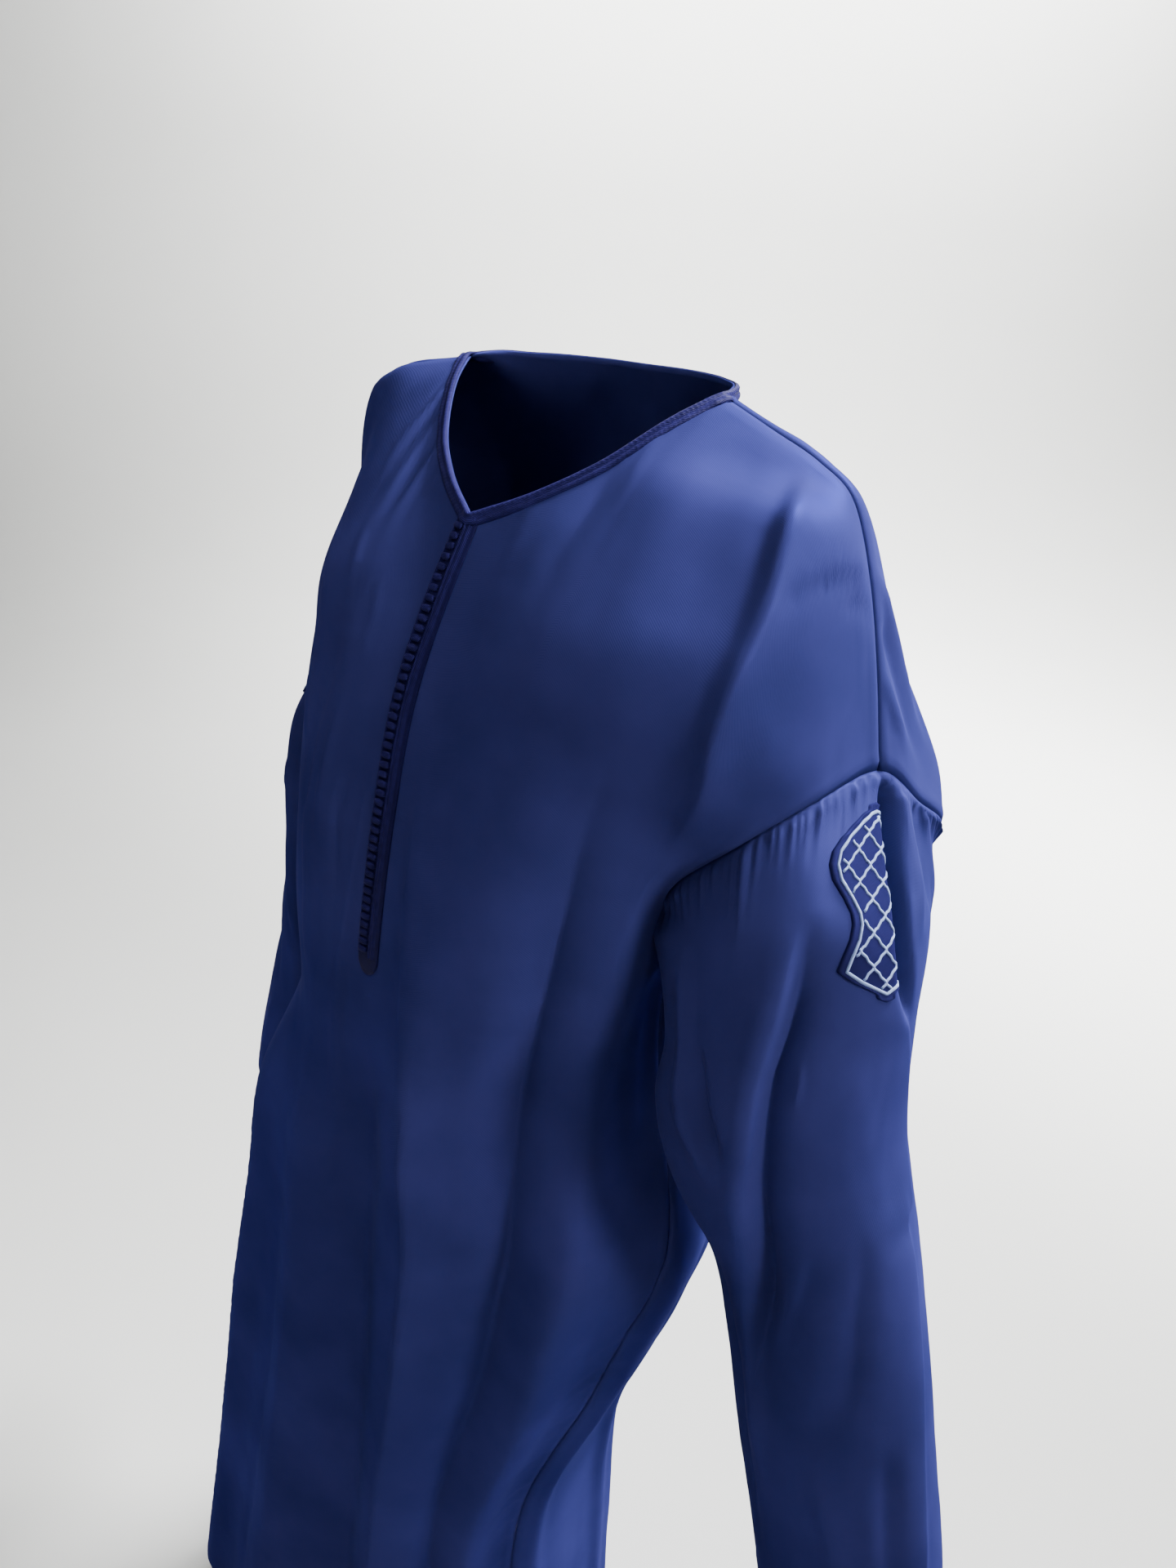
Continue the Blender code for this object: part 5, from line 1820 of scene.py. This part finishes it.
    def build(self, cord: Material, tape: Material) -> None:
        """Make the placket's pieces.

        Args:
            cord: the material of the knots, their edging and the band.
            tape: the material of the tape, its own navy made darker than the cord to paint the
                shade between the knots.
        """
        ladder = joined_pieces("placket_knots_worked", [self.knot_row(), self.edging()])
        dress(ladder, cord, ["placket_loops"])
        dress(self.tape(), tape)
        dress(self.band(), cord, ["placket_band"])


@dataclass
class Patch:
    """The waisted patch on a sleeve, with its outline and trellis of thread.

    Lengths are in centimetres, but the flat size and those given in MM are in
    metres.  The outline is a table of shares of the length and of half widths, the
    stitch a table of shares of the thread's half width and of its rise.
    """

    sleeve: Sleeve
    flat: tuple = (0.081, 0.118)
    fullness: float = 0.64
    start: float = 3.0
    length: float = 10.6
    centre: float = 0.012
    slant: float = 0.4
    outline: tuple = ((0.00, 0.03), (0.02, 0.50), (0.08, 1.40), (0.16, 2.50), (0.23, 3.15),
                      (0.30, 3.35), (0.38, 3.10), (0.48, 2.30), (0.56, 1.80), (0.62, 1.68),
                      (0.70, 1.85), (0.79, 2.30), (0.865, 2.62), (0.92, 1.70), (1.00, 0.03))
    outline_steps: int = 6
    outline_samples: int = 200
    # The ground's border, and how its two ends taper.
    border: float = 0.58
    border_fullness: float = 1.15
    tip_slope: float = 2.4
    tip_least: float = 0.03
    thickness: float = 0.8 * MM
    ground_rise: float = 1.1 * MM
    # The turned edge: its share of the rise, where it is full, and the ridge that
    # its stitching leaves.
    edge_least: float = 0.02
    edge_share: float = 0.15
    edge_full: float = 0.12
    edge_ridge: float = 0.5 * MM
    ridge_from: float = 0.16
    ridge_reach: float = 0.09
    outline_width: float = 0.23
    thread_width: float = 0.19
    thread_rise: float = 0.75 * MM
    outline_rise: float = 0.825 * MM
    # The share of the ground's rise at which the thread begins.
    thread_seat: float = 0.9
    stitch: tuple = ((-1.0, 0.0), (-0.6, 0.75), (0.0, 1.0), (0.6, 0.75), (1.0, 0.0),
                     (0.5, -0.35), (-0.5, -0.35))
    # The trellis: its cell, where its nodes start and how far it keeps inside.
    cell_width: float = 0.88
    cell_height: float = 0.95
    first_node: float = 0.42
    side_step: float = 0.78
    cells: int = 16
    cell_points: int = 24
    end_margin: float = 0.25
    side_margin: float = 0.16
    least_points: int = 5
    rows: int = 90
    columns: int = 36
    # How many of the sleeve's columns are measured on either side of its middle.
    near: int = 63
    fall: Array = field(init=False, default=None)
    arc: Array = field(init=False, default=None)
    turns: Array = field(init=False, default=None)

    def __post_init__(self) -> None:
        """Measure the sleeve where the patch lies."""
        self.fall = travelled(self.sleeve.points[:, 0]) / CM
        near = self.near
        wide = lapped(self.sleeve.points, near)[:, :2 * near + 1]
        arc = travelled(wide, axis=1) / CM
        self.arc = arc - arc[:, near:near + 1]
        self.turns = np.arange(-near, near + 1) / self.sleeve.columns

    def place(self, u: Array, v: Array, rise: Array) -> Array:
        """Points over the sleeve.

        Args:
            u: centimetres across the patch.
            v: centimetres down it, of the same shape.
            rise: metres off the cloth, of the same shape.

        Returns:
            One point for each.
        """
        length = np.interp(self.start + v - self.slant * u, self.fall, self.sleeve.lengths)
        rows = np.interp(length, self.sleeve.lengths, np.arange(len(self.arc))).ravel()
        middle = np.interp(self.centre, self.turns, np.arange(len(self.turns)))
        around = np.empty(len(rows))
        for index, (row, wanted) in enumerate(zip(rows, np.ravel(u))):
            low = min(int(row), len(self.arc) - 2)
            reach = self.arc[low] * (low + 1 - row) + self.arc[low + 1] * (row - low)
            start = np.interp(middle, np.arange(len(reach)), reach)
            around[index] = np.interp(start + wanted, reach, self.turns)
        spot, way = self.sleeve.on_cloth(around.reshape(np.shape(u)), length)
        return spot + way * np.asarray(rise)[..., None]

    def half_width(self, v: Array) -> Array:
        """Half the width inside the outline, at centimetres down the patch."""
        return np.interp(v / self.length, *np.transpose(self.outline))

    def ground(self) -> Piece:
        """The navy satin ground, a border wider than its outline.

        Returns:
            The new object, still without its thickness.
        """
        shares = np.linspace(0, 1, self.rows + 1)
        down = -self.border + shares * (self.length + 2 * self.border)
        samples = np.linspace(0, self.length, self.outline_samples)
        inner = np.interp(down, samples, self.half_width(samples))
        tip = np.minimum(down + self.border, self.length + self.border - down)
        half = np.minimum(inner + self.border * self.border_fullness,
                          np.maximum(tip * self.tip_slope, self.tip_least) + self.edge_least)
        sides = np.linspace(-1, 1, self.columns + 1)
        u = sides[None] * half[:, None]
        v = np.broadcast_to(down[:, None], u.shape)
        edge = np.minimum((1 - np.abs(sides))[None] * half[:, None], tip[:, None] + self.edge_least)
        grown = self.edge_share + (1 - self.edge_share) * ease(edge / self.edge_full)
        rise = self.ground_rise * grown
        rise += self.edge_ridge * bell(edge - self.ridge_from, self.ridge_reach)
        points = self.place(u, v, rise)
        ways = self.place(u, v, rise + MM) - points
        return sheet_mesh(f"patch_ground_{self.sleeve.arm.value}", points,
                          np.stack([u, v], axis=2) * CM, ways)

    def ribbon(self, u: Array, v: Array, width: float, rise: float) -> Piece:
        """One line of satin stitch along a path on the patch.

        Args:
            u: centimetres across, one a point of the path.
            v: centimetres down.
            width: its width in centimetres.
            rise: metres that it stands off the ground.

        Returns:
            The new object.
        """
        path = np.stack([u, v], axis=1)
        ahead = unit(np.gradient(path, axis=0))
        side = np.stack([-ahead[:, 1], ahead[:, 0]], axis=1)
        shares, rises = np.transpose(self.stitch)
        spots = path[:, None] + side[:, None] * (shares * width / 2)[None, :, None]
        heights = self.ground_rise * self.thread_seat + rise * rises
        sections = self.place(spots[..., 0], spots[..., 1],
                              np.broadcast_to(heights, spots.shape[:2]))
        return strip_mesh("stitch_line", sections, travelled(path) * CM)

    def outline_path(self) -> tuple[Array, Array]:
        """The outline as one closed path, down the left and up the right.

        Returns:
            Centimetres across and centimetres down, one of each a point.
        """
        ends = [share for share, _ in self.outline]
        steps = self.outline_steps
        shares = np.concatenate([np.linspace(first, last, steps + 1)[:-1]
                                 for first, last in zip(ends, ends[1:])] + [ends[-1:]])
        half = np.interp(shares, *np.transpose(self.outline))
        down = shares * self.length
        return np.concatenate([half, -half[::-1]]), np.concatenate([down, down[::-1]])

    def trellis(self) -> list[Piece]:
        """The curly diagonal lines, cut off inside the outline.

        Returns:
            One object for each unbroken stretch of a line.
        """
        lines = []
        across = np.linspace(-self.cells, self.cells, self.cells * self.cell_points + 1)
        wave = 4 * math.pi
        stepped = across + self.side_step * np.sin(wave * across) / wave
        u = across * self.cell_width
        for slope in (1, -1):
            for k in range(2 - self.cells, self.cells - 1):
                v = self.first_node + (slope * stepped + 2 * k) * self.cell_height
                inside = (v > self.end_margin) & (v < self.length - self.end_margin)
                inside &= np.abs(u) < self.half_width(v) - self.side_margin
                edges = np.flatnonzero(np.diff(np.concatenate([[0], inside.astype(int), [0]])))
                for first, last in zip(edges[::2], edges[1::2]):
                    if last - first >= self.least_points:
                        run = slice(first, last, 2)
                        lines.append(self.ribbon(u[run], v[run], self.thread_width,
                                                 self.thread_rise))
        return lines

    def build(self, ground: Material, thread: Material) -> None:
        """Make the patch's pieces.

        Args:
            ground: the material of its satin.
            thread: the material of its embroidery.
        """
        side = self.sleeve.arm.value
        base = self.ground()
        thicken(base, self.thickness)
        dress(base, ground, [f"patch_{side}"])
        lines = self.trellis()
        lines.append(self.ribbon(*self.outline_path(), self.outline_width,
                                 self.outline_rise))
        stitched = joined_pieces(f"patch_embroidery_{side}", lines)
        dress(stitched, thread)


@dataclass(frozen=True)
class Lamp:
    """One soft light: where it hangs, what it faces, its size, watts and spread."""

    name: str
    spot: tuple
    target: tuple
    size: tuple
    power: float
    spread: float

    def hang(self) -> None:
        """Put the light in the scene."""
        lamp = bpy.data.lights.new(self.name, "AREA")
        lamp.shape = "RECTANGLE"
        lamp.size, lamp.size_y = self.size
        lamp.energy = self.power
        lamp.spread = self.spread
        holder = bpy.data.objects.new(self.name, lamp)
        bpy.context.scene.collection.objects.link(holder)
        holder.location = self.spot
        way = Vector(self.target) - Vector(self.spot)
        holder.rotation_euler = way.to_track_quat("-Z", "Y").to_euler()


LAMPS = (
    Lamp("key_light", (0.66, 1.25, 1.8), (0.1, 0.0, -0.15), (1.0, 0.7), 47.0, 1.1),
    Lamp("side_light", (2.2, 0.0, 0.8), (0.34, -0.1, -0.16), (0.6, 0.8), 1.9, 0.45),
    Lamp("front_light", (1.8, -1.0, 1.2), (0.1, -0.1, -0.2), (0.4, 0.5), 0.6, 0.9),
    Lamp("high_light", (-0.1, -1.2, 2.5), (0.0, -0.1, -0.1), (1.2, 0.8), 4.8, 1.0),
    Lamp("floor_light", (-0.3, 3.4, 4.2), (-0.3, 3.4, -1.4), (4.5, 3.0), 640.0, 1.2),
    Lamp("wall_light", (-2.6, 4.3, 3.6), (-4.4, 6.8, 0.2), (5.0, 1.5), 620.0, 2.2),
)


@dataclass
class Studio:
    """A pale floor that curves up far away, soft lights and the camera."""

    floor_height: float = -1.475
    floor_rings: tuple = (0.0, 1.5, 3.0)
    floor_radius: float = 4.6
    bend_radius: float = 2.4
    bend_steps: int = 8
    wall_height: float = 6.0
    turn_steps: int = 72
    air_colour: tuple = (0.93, 0.95, 1.0, 1.0)
    air_strength: float = 0.035
    # The camera: its place, its three axes and its lens, as in the photograph.
    eye: tuple = (0.4293, -0.5508, 0.0162)
    right: tuple = (0.789, 0.603, 0.115)
    up: tuple = (-0.329, 0.258, 0.908)
    behind: tuple = (0.519, -0.755, 0.402)
    lens: float = 22.99
    sensor_width: float = 36.0
    nearest: float = 0.02
    farthest: float = 60.0

    def floor(self, finish: Material) -> None:
        """Make the floor and its far rim, one spun sheet.

        Args:
            finish: its material.
        """
        profile = [(ring, 0.0) for ring in (*self.floor_rings, self.floor_radius)]
        for k in range(1, self.bend_steps + 1):
            turn = k / self.bend_steps * math.pi / 2
            profile.append((self.floor_radius + self.bend_radius * math.sin(turn),
                            self.bend_radius * (1 - math.cos(turn))))
        profile.append((self.floor_radius + self.bend_radius, self.wall_height))
        shape = bmesh.new()
        verts = [shape.verts.new((x, 0.0, self.floor_height + z)) for x, z in profile]
        edges = [shape.edges.new(pair) for pair in zip(verts, verts[1:])]
        bmesh.ops.spin(shape, geom=verts + edges, cent=(0, 0, 0), axis=(0, 0, 1),
                       dvec=(0, 0, 0), angle=2 * math.pi, steps=self.turn_steps,
                       use_merge=True)
        bmesh.ops.remove_doubles(shape, verts=shape.verts, dist=0.1 * MM)
        bmesh.ops.recalc_face_normals(shape, faces=shape.faces)
        shape.faces.ensure_lookup_table()
        if shape.faces[0].normal.z < 0:
            bmesh.ops.reverse_faces(shape, faces=shape.faces)
        for face in shape.faces:
            face.smooth = True
        floor = finished("studio_floor", shape)
        floor.data.materials.append(finish)

    def air(self) -> None:
        """Fill the studio with a little even light."""
        world = bpy.data.worlds.new("studio_air")
        world.use_nodes = True
        air = world.node_tree.nodes["Background"]
        air.inputs["Color"].default_value = self.air_colour
        air.inputs["Strength"].default_value = self.air_strength
        bpy.context.scene.world = world

    def camera(self) -> None:
        """Set up the camera as in the photograph."""
        lens = bpy.data.cameras.new("camera")
        lens.lens = self.lens
        lens.sensor_width = self.sensor_width
        lens.sensor_fit = "AUTO"
        lens.clip_start = self.nearest
        lens.clip_end = self.farthest
        holder = bpy.data.objects.new("camera", lens)
        bpy.context.scene.collection.objects.link(holder)
        axes = Matrix((self.right, self.up, self.behind)).transposed()
        turn = axes.to_quaternion().to_matrix().to_4x4()
        holder.matrix_world = Matrix.Translation(self.eye) @ turn
        bpy.context.scene.camera = holder

    def build(self, finish: Material) -> None:
        """Set up the floor, the air, the lights and the camera.

        Args:
            finish: the floor's material.
        """
        self.floor(finish)
        self.air()
        for lamp in LAMPS:
            lamp.hang()
        self.camera()


def main() -> None:
    """Build every piece of the djellaba and the studio, in order."""
    logging.basicConfig(level=logging.INFO, format="%(name)s %(message)s")
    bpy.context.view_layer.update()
    satin = SatinFinish().build()
    cord = CordFinish("navy_cord", deep=(0.006, 0.0055, 0.040),
                      pale=(0.024, 0.021, 0.125)).build()
    # The tape is darker than the cord: its own navy, deepened to paint the shade in the gaps
    # between the knots.
    tape = CordFinish("navy_tape_painted_gap_shade", deep=(0.006, 0.005, 0.038), pale=(0.012, 0.011, 0.070),
                      pitch=0.7 * MM, slant=0.0, depth=0.1 * MM).build()
    ground = SatinFinish("navy_satin", deep=(0.010, 0.010, 0.052),
                         pale=(0.015, 0.015, 0.075)).build()
    thread = CordFinish("pale_blue_thread", deep=(0.13, 0.19, 0.40), pale=(0.28, 0.37, 0.66),
                        roughness=0.42, sheen=0.1, shine=0.4, pitch=0.5 * MM,
                        slant=math.pi / 2, depth=0.15 * MM).build()
    front, back = Panel(Cut.FRONT), Panel(Cut.BACK)
    front.build(satin)
    back.build(satin)
    raised = SLEEVE_CREASES + HEAD_SWELL + PATCH_FOLD + EDGE_RIDGE + EDGE_RIDGE_LOW
    hanging = SLEEVE_CREASES + PATCH_FOLD[:2]
    sleeves = [Sleeve(Arm.LEFT, front, back, raised, seed=7),
               Sleeve(Arm.RIGHT, front, back, hanging, seed=8)]
    for sleeve in sleeves:
        sleeve.build(satin)
    NeckBraid(front, back).build(cord)
    Placket(front).build(cord, tape)
    for sleeve in sleeves:
        Patch(sleeve).build(ground, thread)
    Studio().build(PaperFinish().build())


if __name__ == "__main__":
    main()
